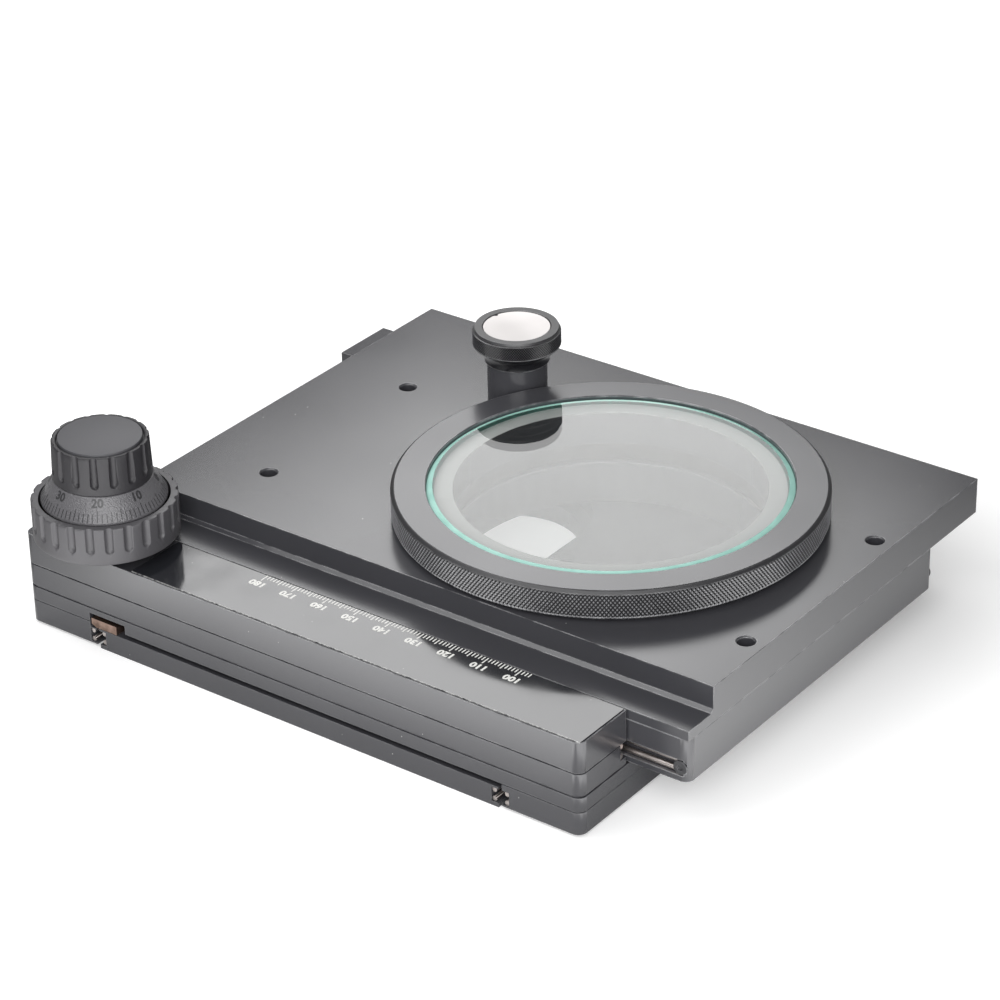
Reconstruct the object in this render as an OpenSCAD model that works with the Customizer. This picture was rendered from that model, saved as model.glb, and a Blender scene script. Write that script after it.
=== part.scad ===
/* [Base and side bars] */
// Length of the guide bars along X
bar_l = 178; // [170:1:190]
// Depth of the base along Y
base_d = 153.6; // [150:0.2:158]
// Thickness of the fixed base plate
plate_t = 5.8; // [5.4:0.1:7]
// Width of each side bar
side_w = 23.4; // [22:0.1:25]
// Radius of the light hole in the base plate
light_r = 19; // [15:0.5:20]
// Light hole centre along X
light_x = -5.5; // [-7:0.5:-4]
// Light hole centre along Y
light_y = 23.6; // [20:0.2:26]
// Height of the side bars above the table
foot_gap = 0.8; // [0.5:0.1:1.2]
// Height of the fine line between the side bars and the centre plate
foot_line_h = 0.2; // [0.1:0.05:0.4]
// Slot between the base plate and the centre plate
slot_gap = 1.2; // [1:0.1:1.6]
// Thickness of the centre plate
centre_t = 4.2; // [4:0.1:5]
// Rounding of the upright corners
corner_r = 2.5; // [1:0.25:4]
// Gap between the base plate and each side bar
y_race_gap = 1; // [0.8:0.1:1.4]

/* [Guide bars] */
// Width of the front bar and its cover
front_w = 18.9; // [18.5:0.1:20]
// Width of the back bar
back_w = 19.6; // [18.5:0.1:21]
// Gap between a bar and the sliding plate
x_race_gap = 0.6; // [0.5:0.1:0.9]
// Thickness of the lower front bar
lower_t = 6.7; // [6.6:0.1:7.5]
// Thickness of the front cover
cover_t = 9.1; // [9:0.1:10]
// Height of the shadow seam under the front cover
seam_h = 0.3; // [0.2:0.05:0.5]
// Height of the deeper seam under the lower front bar
foot_seam_h = 0.6; // [0.3:0.05:0.8]
// How much longer than the front bar the back bar is at each end
back_over = 1.5; // [0:0.25:3]
// Thickness of the printed scale plate
scale_t = 0.3; // [0.2:0.05:0.5]

/* [Moving plates] */
// Length of the sliding plate and top plate
carriage_l = 180; // [174:1:190]
// Thickness of the sliding plate
slide_t = 12; // [11.8:0.1:13]
// Thickness of the top plate
top_t = 10; // [9.6:0.1:11]
// How far the top plate stands out behind the base
top_over = 1.4; // [0:0.1:3]
// Depth of the front ledge
ledge_d = 10.5; // [9.5:0.1:11]
// Thickness of the front ledge
ledge_t = 2.8; // [2.2:0.1:3.4]
// Mounting hole spacing along X
hole_dx = 150; // [146:1:152]
// Mounting hole spacing along Y
hole_dy = 60; // [50:1:62]
// Mounting hole radius
hole_r = 2.2; // [1.5:0.1:3]

/* [Rotating ring] */
// Outer radius of the knurled ring
ring_r = 56.8; // [55:0.1:57.5]
// Height of the knurled ring above its gap
ring_h = 8; // [7.5:0.1:9]
// Width of the ring's flat face round the glass
ring_face = 9.2; // [8.6:0.1:10]
// Width of the ledge that carries the glass
glass_ledge = 6.9; // [6:0.1:8]
// Thickness of the glass
glass_t = 2.9; // [2.5:0.1:3.2]
// Thickness of the gear ring under the top plate
gear_t = 5; // [4.8:0.1:5.2]

/* [Coaxial knobs] */
// Outer radius of the lower fluted ring
fluted_r = 19.1; // [18:0.1:19.4]
// Height of the lower fluted ring
fluted_h = 10.4; // [9.5:0.1:11]
// Number of flutes on the lower ring
fluted_n = 24; // [16:1:24]
// Radius of the dial at its lower edge
dial_r = 16.45; // [15.5:0.05:16.5]
// Height of the dial cone
dial_h = 6.2; // [5.5:0.1:7]
// Radius of the upper knob at its foot
knob_r = 13; // [12.4:0.1:13.2]
// Height of the upper knob
knob_h = 10.7; // [10:0.1:12]
// Number of flutes on the upper knob
knob_n = 16; // [10:1:16]

/* [Rotation knob] */
// Radius of the knurled head
head_r = 12.1; // [11:0.1:12.5]
// Height of the knurled band and its rim
head_band = 5.2; // [4.4:0.1:6]
// Height of the undercut below the band
head_cone = 4.6; // [4:0.1:5.5]
// Radius of the column
post_r = 8.2; // [7.4:0.05:8.3]
// Height of the column
post_h = 13.2; // [12:0.1:16]

/* [Hidden] */
$fn = 72;
ball_fn = 24;
cut = 1;
seat_gap = 0.02;
run_gap = 0.06;
axial_gap = 0.2;

// Heights of the stack from the table up
z_centre = plate_t + slot_gap;
z_lower = z_centre + centre_t;
z_cover = z_lower + lower_t;
z_cover_top = z_cover + cover_t;
slide_lift = 0.8;
z_slide = z_lower + slide_lift;
z_top = z_slide + slide_t;
z_top_face = z_top + top_t;
z_ledge = z_top + ledge_t;
ring_lift = 0.5;
z_ring = z_top_face + ring_lift;
z_ring_top = z_ring + ring_h;

// Left and right lines of the base
side_x = bar_l / 2 - side_w;
plate_w = 2 * (side_x - y_race_gap);

// Front and back lines of the guides
front_y = -base_d / 2 + front_w;
back_y = base_d / 2 - back_w;
slide_y0 = front_y + x_race_gap;
slide_y1 = back_y - x_race_gap;
slide_d = slide_y1 - slide_y0;
back_top_gap = 0.3;
back_t = z_top - back_top_gap - z_lower;
step_y = slide_y0 + ledge_d;
top_y1 = base_d / 2 + top_over;
carriage_x = 16.5;
carriage_x0 = carriage_x - carriage_l / 2;
carriage_x1 = carriage_x + carriage_l / 2;
step_fillet = 0.9;

// Ball race sizes
ball_r = 1.5;
ball_play = 0.1;
x_wire_r = 0.75;
x_wire_rise = 1.4;
x_race_h = 2 * (x_wire_rise + x_wire_r);
x_race_z = z_cover - x_race_h / 2;
x_wire_out = sqrt(pow(ball_r + x_wire_r + ball_play, 2) - pow(x_wire_rise, 2));
x_race_depth = x_wire_out + x_wire_r + seat_gap - x_race_gap / 2;
x_race_end = 1.6;
y_wire_r = 0.7;
y_wire_rise = 1.3;
y_race_h = 2 * (y_wire_rise + y_wire_r);
y_race_lift = 1.2;
y_race_z = y_race_lift + y_race_h / 2;
y_wire_out = sqrt(pow(ball_r + y_wire_r + ball_play, 2) - pow(y_wire_rise, 2));
y_race_depth = y_wire_out + y_wire_r + seat_gap - y_race_gap / 2;
y_race_x = plate_w / 2 + y_race_gap / 2;
front_race_y = front_y + x_race_gap / 2;
back_race_y = back_y - x_race_gap / 2;
wire_end_gap = 0.4;
cage_t = 0.3;
cage_side_gap = 0.15;
cage_hole_gap = 0.05;
ball_step = 12;
x_cage_n = 9;
y_cage_n = 6;
cage_rest_x = carriage_x / 2;

// Gears, all with involute flanks
rack_pitch = 2.5;
train_m = rack_pitch / PI;
ring_m = 1;
pressure = 22.5;
tooth_slack = 0.16;
tip_share = 0.8;
root_share = 1.05;
pinion_n = 16;
idler_a_n = 18;
idler_b_n = 13;
ring_pinion_n = 23;
train_t = 3.6;
train_floor = 1.6;
z_train = z_cover + train_floor;
chamber_gap = 0.5;
chamber_top = z_train + train_t + chamber_gap;

// Knob axis and the train to the long rack
knob_in = 21;
knob_x = -bar_l / 2 + knob_in;
knob_y = -base_d / 2 + front_w / 2;
rack_tip_in = 0.2;
x_pitch_y = slide_y0 + rack_tip_in + tip_share * train_m;
idler_reach = 24.6;
idler_b_x = knob_x + idler_reach;
idler_b_y = x_pitch_y - pitch_r(train_m, idler_b_n);
reach_pa = pitch_r(train_m, pinion_n) + pitch_r(train_m, idler_a_n);
reach_ab = pitch_r(train_m, idler_a_n) + pitch_r(train_m, idler_b_n);
reach_pb = sqrt(pow(idler_b_x - knob_x, 2) + pow(idler_b_y - knob_y, 2));
reach_on = (pow(reach_pa, 2) - pow(reach_ab, 2) + pow(reach_pb, 2)) / (2 * reach_pb);
reach_off = sqrt(pow(reach_pa, 2) - pow(reach_on, 2));
reach_cos = (idler_b_x - knob_x) / reach_pb;
reach_sin = (idler_b_y - knob_y) / reach_pb;
idler_a_x = knob_x + reach_on * reach_cos + reach_off * reach_sin;
idler_a_y = knob_y + reach_on * reach_sin - reach_off * reach_cos;
idler_b_turn = 90;
idler_a_turn = mesh_turn(idler_b_turn, idler_b_n, idler_a_n,
  atan2(idler_a_y - idler_b_y, idler_a_x - idler_b_x));
x_pinion_turn = mesh_turn(idler_a_turn, idler_a_n, pinion_n,
  atan2(knob_y - idler_a_y, knob_x - idler_a_x));
idler_pin_r = 1.5;
idler_pin_up = 2.4;
idler_head_r = 2.2;
idler_head_t = 0.4;

// Racks
x_rack_l = 92;
x_rack_in = 1.5;
x_rack_x0 = carriage_x0 + x_rack_in;
x_rack_h = 4.2;
rack_over = 0.3;
x_rack_z = z_train - rack_over;
x_rack_back = 2;
end_gap_n = 1;
rack_seat = 0.2;
y_rack_h = 2.5;
y_rack_z = plate_t;
y_travel = 75;
y_rack_back = 2.2;
y_pitch_x = knob_x + pitch_r(train_m, pinion_n);
y_rack_x1 = y_pitch_x + root_share * train_m + y_rack_back;
stop_w = 8.6;
stop_d = 1.8;
stop_in = 0.1;
stop_foot_w = 1.6;
stop_foot_h = 0.7;
y_rack_y0 = -base_d / 2 + stop_in;
y_rack_teeth = ceil(y_travel / rack_pitch) + 1;
rack_screw_r = 0.6;
rack_screw_head = 1;
rack_screw_deep = 3;
rack_screw_step = 25;
rack_screw_y_in = 14;
rack_screw_y0 = y_rack_y0 + rack_screw_y_in;
rack_screw_in = 1.1;
y_pinion_lift = 0.4;
y_pinion_t = 3;
pocket_gap = 0.5;
recess_side = 0.5;
recess_w = 12.2;
recess_h = 2.7;
notch_drop = 1.5;

// Shafts of the coaxial knobs
shaft_r = 2.5;
sleeve_r = 4;
shaft_up = 4.7;
sleeve_up = 5.5;
boss_r = 12;
boss_h = 2.7;
boss_gap = 0.4;
z_fluted = z_cover_top + boss_h + boss_gap;
z_dial = z_fluted + fluted_h;
z_knob = z_dial + dial_h;
z_knob_top = z_knob + knob_h;
fluted_wall = 2.3;
fluted_floor = 2.5;
fluted_hub_r = 8;
fluted_hub_h = 6.4;
rim_chamfer = 0.6;
flute_r = 1.1;
flute_out = 0.3;
flute_foot = 4.3;
knob_flute_foot = 3.1;
knob_draft = 0.4;
knob_dome = 0.4;
cap_r = 10.93;
cap_t = 1.2;
cap_edge = 0.15;
knob_web = 2;
knob_recess_r = 3.2;
knob_recess_h = 2.9;
knob_screw_r = 1.25;
knob_screw_head = 2.4;
knob_screw_head_h = 1.6;
knob_screw_l = 6;
dial_wall = 1.6;
dial_web = 2.4;
dial_lip = 0.4;

// Rotor, its bearing and gear under the top plate
seat_r = ring_r - ring_face;
clear_r = seat_r - glass_ledge;
ring_lip = 6.8;
gear_in = 3;
ring_gear_n = 2 * ceil((ring_r - gear_in) / ring_m);
rotor_in = 20.6;
rotor_x = carriage_x + rotor_in;
rotor_y = step_y + ring_r;
web_t = 3.8;
z_web = z_top_face - web_t;
hub_r = ring_r - ring_lip;
bearing_wall = 1.9;
bearing_flange = 3.8;
bearing_flange_t = 0.42;
gear_pocket_gap = 0.7;
gear_bore_gap = 0.5;
gear_bore_r = clear_r + gear_bore_gap;
ring_top_chamfer = 0.9;
ring_foot_chamfer = 0.6;
seat_chamfer = 0.25;
glass_in = 0.3;
glass_gap = 0.1;
gear_screw_n = 6;
gear_screw_r = 1.25;
gear_screw_head = 2.2;
gear_screw_head_h = 1.8;
gear_screw_l = 6;
gear_screw_circle = (clear_r + hub_r) / 2;
slide_bore_gap = 0.3;
slide_bore_r = clear_r + slide_bore_gap;

// Rotation knob and its pinion
post_angle = 147.7;
post_reach = pitch_r(ring_m, ring_gear_n) + pitch_r(ring_m, ring_pinion_n);
post_x = rotor_x + post_reach * cos(post_angle);
post_y = rotor_y + post_reach * sin(post_angle);
rotation_shaft_r = 3;
spigot_r = 5.5;
spigot_h = 3;
head_gap = 0.3;
z_head = z_top_face + post_h + head_gap;
z_head_top = z_head + head_cone + head_band;
head_foot_r = 8.9;
head_chamfer = 0.5;
head_cap_r = 9.15;
head_cap_t = 0.6;
head_cap_in = 0.2;
head_notch_r = 0.6;
head_web = 1.5;
head_screw_l = 6;
head_recess_h = 2;
head_notch_turn = 165;
cone_mid_share = 0.5;
cone_mid_out_share = 0.4;
cone_rim_share = 0.93;
rotation_pinion_gap = 0.4;
z_gear = z_web - axial_gap - gear_t;
ring_turn = post_angle;
rotation_turn = mesh_turn(ring_turn, ring_gear_n, ring_pinion_n, post_angle);

// Screws that hold the bars and plates
screw_r = 1.5;
screw_head = 2.8;
screw_cone = 1.3;
front_screw_l = 14.5;
back_screw_l = 12;
side_screw_l = 9.6;
bar_screw_in = 5;
bar_screw_x = [-bar_l / 2 + bar_screw_in, -bar_l / 8, bar_l / 4, bar_l / 2 - bar_screw_in];
side_screw_x = side_x + (bar_l / 2 - side_x) / 2;
side_screw_share = 0.3;
side_screw_y = base_d * side_screw_share;
plate_screw_r = 2;
plate_screw_head = 3.5;
plate_screw_head_h = 4;
plate_screw_l = 10;
plate_screw_in = 9;
race_screw_r = 0.55;
race_screw_head = 1.9;
race_screw_head_t = 0.6;
race_screw_l = 6;
race_screw_in = 2.5;
socket_r = 0.9;
socket_deep = 0.4;
base_hole_r = 2.1;
base_hole_in_x = 14.6;
base_hole_in_y = 21.8;
base_hole_dx = plate_w - 2 * base_hole_in_x;
base_hole_dy = base_d - 2 * base_hole_in_y;
hole_in = 9.9;
hole_x = carriage_x + hole_in;
hole_front = 21.8;
hole_y = step_y + hole_front + hole_dy / 2;
hole_chamfer = 0.4;
scale_edge = 0.4;
scale_in = 16.2;
scale_x0 = knob_x + scale_in;
slot_r = 22;
slot_front = 3.9;
slot_back = 11.2;
slot_y0 = front_y + slot_front;
slot_y1 = back_y - slot_back;

// Pitch radius of a gear
function pitch_r(m, n) = m * n / 2;

// Involute function in degrees
function roll_deg(a) = tan(a) * 180 / PI - a;

// Half angle of a tooth at radius r
function half_deg(r, m, n) =
  90 / n - tooth_slack / 2 / pitch_r(m, n) * 180 / PI + roll_deg(pressure)
  - roll_deg(acos(min(1, pitch_r(m, n) * cos(pressure) / r)));

// Turn of gear 2 that meshes with gear 1, seen from gear 1 along the given direction
function mesh_turn(turn, n1, n2, dir) =
  let (off = turn - dir, part = off - round(off * n1 / 360) * 360 / n1)
  dir + 180 - part * n1 / n2 + 180 / n2;

// Outline radii of one tooth from its root to its tip
function tooth_radii(m, n) =
  let (
    p = pitch_r(m, n), root = p - root_share * m,
    low = max(root, p * cos(pressure)), tip = p + tip_share * m
  )
  [root, low, (low + tip) / 2, tip];

// Gear outline with one tooth at the given turn
module gear_outline(m, n, turn) {
  radii = tooth_radii(m, n);
  halves = [for (r = [radii[1], radii[1], radii[2], radii[3]]) half_deg(r, m, n)];
  polygon([
    for (i = [0:n - 1])
      for (k = [0, 1, 2, 3, 4, 5, 6, 7])
        let (j = k < 4 ? k : 7 - k, side = k < 4 ? -1 : 1, a = turn + i * 360 / n + side * halves[j])
        [radii[j] * cos(a), radii[j] * sin(a)]
  ]);
}

// Rack outline along +X with its teeth pointing to -Y and a gap at x = 0
module rack_outline(m, first, last, x0, x1, back) {
  step = PI * m;
  half = step / 4 - tooth_slack / 2;
  tip = tip_share * m;
  root = root_share * m;
  lean = tan(pressure);
  polygon(concat(
    [[x1, root + back], [x0, root + back], [x0, root]],
    [
      for (k = [first:last])
        let (c = (k + 1 / 2) * step)
          for (p = [[-1, root], [-1, -tip], [1, -tip], [1, root]])
            [c + p[0] * (half + p[1] * lean), p[1]]
    ],
    [[x1, root]]
  ));
}

// Rectangle with round corners
module round_outline(l, w, r) {
  square([l - 2 * r, w], center = true);
  square([l, w - 2 * r], center = true);
  for (sx = [-1, 1], sy = [-1, 1])
    translate([sx * (l / 2 - r), sy * (w / 2 - r)]) circle(r);
}

// Block of the base outline between two heights
module stage_block(z0, z1, inset) {
  translate([0, 0, z0])
    linear_extrude(z1 - z0)
      round_outline(bar_l - 2 * inset, base_d - 2 * inset, corner_r);
}

// Box given by its lower and upper corner
module box(a, b) {
  translate(a) cube([b[0] - a[0], b[1] - a[1], b[2] - a[2]]);
}

// Shadow groove around the foot of a bar
module seam_cut(z0, h) {
  difference() {
    box([-bar_l, -base_d, z0 - cut], [bar_l, base_d, z0 + h]);
    stage_block(z0 - 2 * cut, z0 + 2 * cut, seam_h);
  }
}

// Countersunk screw pointing up with its head face at z = 0
module sunk_screw(r, head, cone, l) {
  cylinder(h = cone, r1 = head, r2 = r);
  translate([0, 0, cone / 2]) cylinder(h = l - cone / 2, r = r);
}

// Hole for a countersunk screw
module sunk_hole(r, head, cone, l) {
  cylinder(h = cone, r1 = head + seat_gap, r2 = r + seat_gap);
  translate([0, 0, -cut]) cylinder(h = l + cut + axial_gap, r = r + seat_gap);
  translate([0, 0, -cut]) cylinder(h = cut, r = head + seat_gap);
}

// Long rod along X
module rod_x(x0, x1, y, z, r) {
  translate([x0, y, z]) rotate([0, 90, 0]) cylinder(h = x1 - x0, r = r);
}

// Long rod along Y
module rod_y(x, y0, y1, z, r) {
  translate([x, y1, z]) rotate([90, 0, 0]) cylinder(h = y1 - y0, r = r);
}

module at_bar_screws(y) {
  for (x = bar_screw_x) translate([x, y, z_centre]) children();
}

module at_side_screws() {
  for (sx = [-1, 1], sy = [-1, 0, 1])
    translate([sx * side_screw_x, sy * side_screw_y, foot_gap]) children();
}

module at_rack_screws() {
  for (k = [0, 1, 2])
    translate([y_rack_x1 - rack_screw_in, rack_screw_y0 + k * rack_screw_step, plate_t + y_rack_h])
      children();
}

module at_plate_screws() {
  for (sx = [0, 1], sy = [0, 1])
    translate([
      sx == 0 ? carriage_x0 + plate_screw_in : carriage_x1 - plate_screw_in,
      sy == 0 ? slide_y0 + plate_screw_in : slide_y1 - plate_screw_in,
      z_slide
    ]) children();
}

module at_gear_screws() {
  for (k = [0:gear_screw_n - 1])
    rotate([0, 0, k * 360 / gear_screw_n]) translate([gear_screw_circle, 0, 0]) children();
}

module at_race_screws() {
  for (sx = [0, 1], sy = [0, 1])
    translate([
      sx == 0 ? carriage_x0 + race_screw_in : carriage_x1 - race_screw_in,
      sy == 0 ? slide_y0 : slide_y1,
      x_race_z
    ]) rotate([sy == 0 ? -90 : 90, 0, 0]) children();
}

module base_plate() {
  color("dimgray") difference() {
    box([-plate_w / 2, -base_d / 2, 0], [plate_w / 2, base_d / 2, plate_t]);
    for (s = [-1, 1])
      translate([s * (plate_w / 2 - y_race_depth / 2 + cut / 2), 0, y_race_z])
        cube([y_race_depth + cut, base_d + 2 * cut, y_race_h + 2 * seat_gap], center = true);
    translate([light_x, light_y, -cut]) cylinder(h = plate_t + 2 * cut, r = light_r);
    for (sx = [-1, 1], sy = [-1, 1])
      translate([sx * base_hole_dx / 2, sy * base_hole_dy / 2, -cut])
        cylinder(h = plate_t + 2 * cut, r = base_hole_r);
    at_rack_screws()
      translate([0, 0, -y_rack_h - rack_screw_deep])
        cylinder(h = rack_screw_deep + cut, r = rack_screw_r + seat_gap);
  }
}

module y_rack() {
  color("goldenrod") difference() {
    union() {
      translate([y_rack_x1, y_rack_y0 + stop_d, y_rack_z]) rotate([90, 0, 0]) linear_extrude(stop_d)
        polygon([
          [0, 0], [0, y_rack_h], [-stop_w, y_rack_h], [-stop_w, stop_foot_h], [stop_foot_w - stop_w, 0]
        ]);
      translate([y_pitch_x, knob_y, y_rack_z])
        linear_extrude(y_rack_h) rotate([0, 0, 90]) mirror([0, 1, 0])
          rack_outline(train_m, -1, y_rack_teeth, y_rack_y0 + stop_d / 2 - knob_y,
            (y_rack_teeth + 1) * rack_pitch, y_rack_back);
    }
    at_rack_screws() mirror([0, 0, 1])
      sunk_hole(rack_screw_r, rack_screw_head, rack_screw_head - rack_screw_r, y_rack_h);
  }
}

module rack_screws() {
  color("silver") at_rack_screws() mirror([0, 0, 1])
    sunk_screw(rack_screw_r, rack_screw_head, rack_screw_head - rack_screw_r,
      y_rack_h + rack_screw_deep - axial_gap);
}

module base_race_wires() {
  color("silver") for (s = [-1, 1], t = [-1, 1])
    rod_y(s * (y_race_x - y_wire_out), -base_d / 2 + wire_end_gap, base_d / 2 - wire_end_gap,
      y_race_z + t * y_wire_rise, y_wire_r);
}

module side_race_wires() {
  color("silver") for (s = [-1, 1], t = [-1, 1])
    rod_y(s * (y_race_x + y_wire_out), -base_d / 2 + wire_end_gap, base_d / 2 - wire_end_gap,
      y_race_z + t * y_wire_rise, y_wire_r);
}

// Hollow under the centre plate for the long rack and its pinion
module rack_recess() {
  box([y_rack_x1 - stop_w - recess_side, -base_d / 2 - cut, z_centre - cut],
    [y_rack_x1 - stop_w - recess_side + recess_w, base_d / 2 + cut, z_centre + recess_h]);
  translate([knob_x, knob_y, plate_t + y_pinion_lift - pocket_gap / 2])
    cylinder(h = z_centre + recess_h - plate_t - y_pinion_lift + pocket_gap / 2,
      r = tooth_radii(train_m, pinion_n)[3] + pocket_gap);
}

module side_bars() {
  color("gray") difference() {
    intersection() {
      stage_block(foot_gap, z_centre, 0);
      union() {
        for (s = [-1, 1])
          translate([s * (side_x + bar_l / 2), 0, z_centre / 2])
            cube([bar_l, 2 * base_d, 2 * z_centre], center = true);
      }
    }
    for (s = [-1, 1])
      translate([s * (side_x + y_race_depth / 2 - cut / 2), 0, y_race_z])
        cube([y_race_depth + cut, base_d + 2 * cut, y_race_h + 2 * seat_gap], center = true);
    box([y_rack_x1 - stop_w - recess_side, -base_d / 2 - cut, z_centre - notch_drop],
      [y_rack_x1, base_d / 2 + cut, z_centre + cut]);
    rack_recess();
    at_side_screws() sunk_hole(screw_r, screw_head, screw_cone, side_screw_l);
  }
}

module centre_plate() {
  color("slategray") difference() {
    stage_block(z_centre, z_lower, 0);
    seam_cut(z_centre, foot_line_h);
    translate([light_x, 0, z_centre - cut]) linear_extrude(centre_t + 2 * cut) {
      translate([-slot_r, slot_y0 + slot_r]) square([2 * slot_r, slot_y1 - slot_y0 - 2 * slot_r]);
      translate([0, slot_y0 + slot_r]) circle(slot_r);
      translate([0, slot_y1 - slot_r]) circle(slot_r);
    }
    rack_recess();
    translate([knob_x, knob_y, z_centre - cut]) cylinder(h = centre_t + 2 * cut, r = shaft_r + pocket_gap);
    at_bar_screws(knob_y) sunk_hole(screw_r, screw_head, screw_cone, front_screw_l);
    at_bar_screws(back_y + back_w / 2) sunk_hole(screw_r, screw_head, screw_cone, back_screw_l);
    at_side_screws() cylinder(h = side_screw_l + axial_gap, r = screw_r + seat_gap);
  }
}

module front_bar() {
  color("gray") difference() {
    intersection() {
      stage_block(z_lower, z_cover, 0);
      box([-bar_l, -base_d, z_lower], [bar_l, front_y, z_cover]);
    }
    seam_cut(z_lower, foot_seam_h);
    box([-bar_l, front_y - x_race_depth, x_race_z - x_race_h / 2 - seat_gap],
      [bar_l, front_y + cut, z_cover + cut]);
    translate([knob_x, knob_y, z_lower - cut]) cylinder(h = lower_t + 2 * cut, r = shaft_r + run_gap);
    at_bar_screws(knob_y) translate([0, 0, cut]) cylinder(h = front_screw_l, r = screw_r + seat_gap);
  }
}

// Round chambers for the gear train
module train_chamber(z0, z1) {
  translate([knob_x, knob_y, z0])
    cylinder(h = z1 - z0, r = tooth_radii(train_m, pinion_n)[3] + chamber_gap);
  translate([idler_a_x, idler_a_y, z0])
    cylinder(h = z1 - z0, r = tooth_radii(train_m, idler_a_n)[3] + chamber_gap);
  translate([idler_b_x, idler_b_y, z0])
    cylinder(h = z1 - z0, r = tooth_radii(train_m, idler_b_n)[3] + chamber_gap);
}

module front_cover() {
  color("darkgray") difference() {
    union() {
      intersection() {
        stage_block(z_cover, z_cover_top, 0);
        box([-bar_l, -base_d, z_cover], [bar_l, front_y, z_cover_top]);
      }
      translate([knob_x, knob_y, z_cover_top - cut]) cylinder(h = boss_h + cut, r = front_w / 2 - seam_h);
    }
    seam_cut(z_cover, seam_h);
    train_chamber(z_cover - cut, chamber_top);
    translate([knob_x, knob_y, z_cover]) cylinder(h = cover_t + boss_h + cut, r = sleeve_r + run_gap);
    for (p = [[idler_a_x, idler_a_y], [idler_b_x, idler_b_y]])
      translate([p[0], p[1], z_cover])
        cylinder(h = chamber_top - z_cover + idler_pin_up + axial_gap, r = idler_pin_r + seat_gap);
    at_bar_screws(knob_y) cylinder(h = front_screw_l + axial_gap, r = screw_r + seat_gap);
  }
}

module scale_plate() {
  color("black") translate([scale_x0, -base_d / 2 + scale_edge, z_cover_top])
    cube([bar_l / 2 - scale_edge - scale_x0, front_w - 2 * scale_edge, scale_t]);
}

module back_bar() {
  color("gray") difference() {
    box([-bar_l / 2 - back_over, back_y, z_lower], [bar_l / 2 + back_over, base_d / 2, z_lower + back_t]);
    box([-bar_l, back_y - cut, x_race_z - x_race_h / 2 - seat_gap],
      [bar_l, back_y + x_race_depth, x_race_z + x_race_h / 2 + seat_gap]);
    at_bar_screws(back_y + back_w / 2) translate([0, 0, cut])
      cylinder(h = back_screw_l, r = screw_r + seat_gap);
  }
}

module bar_race_wires() {
  color("silver") for (t = [-1, 1]) {
    rod_x(-bar_l / 2 + wire_end_gap, bar_l / 2 - wire_end_gap, front_race_y - x_wire_out,
      x_race_z + t * x_wire_rise, x_wire_r);
    rod_x(-bar_l / 2 + wire_end_gap, bar_l / 2 - wire_end_gap, back_race_y + x_wire_out,
      x_race_z + t * x_wire_rise, x_wire_r);
  }
}

module bar_screws() {
  color("silver") {
    at_bar_screws(knob_y) sunk_screw(screw_r, screw_head, screw_cone, front_screw_l);
    at_bar_screws(back_y + back_w / 2) sunk_screw(screw_r, screw_head, screw_cone, back_screw_l);
  }
}

module side_bar_screws() {
  color("silver") at_side_screws() sunk_screw(screw_r, screw_head, screw_cone, side_screw_l);
}

module idler_pins() {
  color("silver") for (p = [[idler_a_x, idler_a_y], [idler_b_x, idler_b_y]])
    translate([p[0], p[1], z_train - axial_gap]) {
      cylinder(h = train_t + axial_gap + chamber_gap + idler_pin_up, r = idler_pin_r);
      translate([0, 0, -idler_head_t]) cylinder(h = idler_head_t, r = idler_head_r);
    }
}

module slide_plate() {
  color("dimgray") difference() {
    translate([carriage_x, (slide_y0 + slide_y1) / 2, z_slide])
      linear_extrude(slide_t) round_outline(carriage_l, slide_d, corner_r);
    translate([rotor_x, rotor_y, z_slide - cut]) cylinder(h = slide_t + 2 * cut, r = slide_bore_r);
    for (p = [[slide_y0 - cut, slide_y0 + x_race_depth], [slide_y1 - x_race_depth, slide_y1 + cut]])
      box([carriage_x0 + x_race_end, p[0], x_race_z - x_race_h / 2 - seat_gap],
        [carriage_x1 - x_race_end, p[1], x_race_z + x_race_h / 2 + seat_gap]);
    box([carriage_x0 - cut, slide_y0 - cut, x_rack_z - rack_seat],
      [x_rack_x0 + x_rack_l + rack_seat, x_pitch_y + root_share * train_m + x_rack_back + seat_gap,
        x_rack_z + x_rack_h + rack_seat]);
    at_plate_screws() {
      translate([0, 0, -cut]) cylinder(h = plate_screw_head_h + cut, r = plate_screw_head + pocket_gap);
      cylinder(h = slide_t + cut, r = plate_screw_r + seat_gap);
    }
    at_race_screws() {
      translate([0, 0, -cut])
        cylinder(h = cut + race_screw_head_t + 2 * seat_gap, r = race_screw_head + seat_gap);
      cylinder(h = race_screw_l + axial_gap + cut, r = race_screw_r + seat_gap);
    }
  }
}

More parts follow.
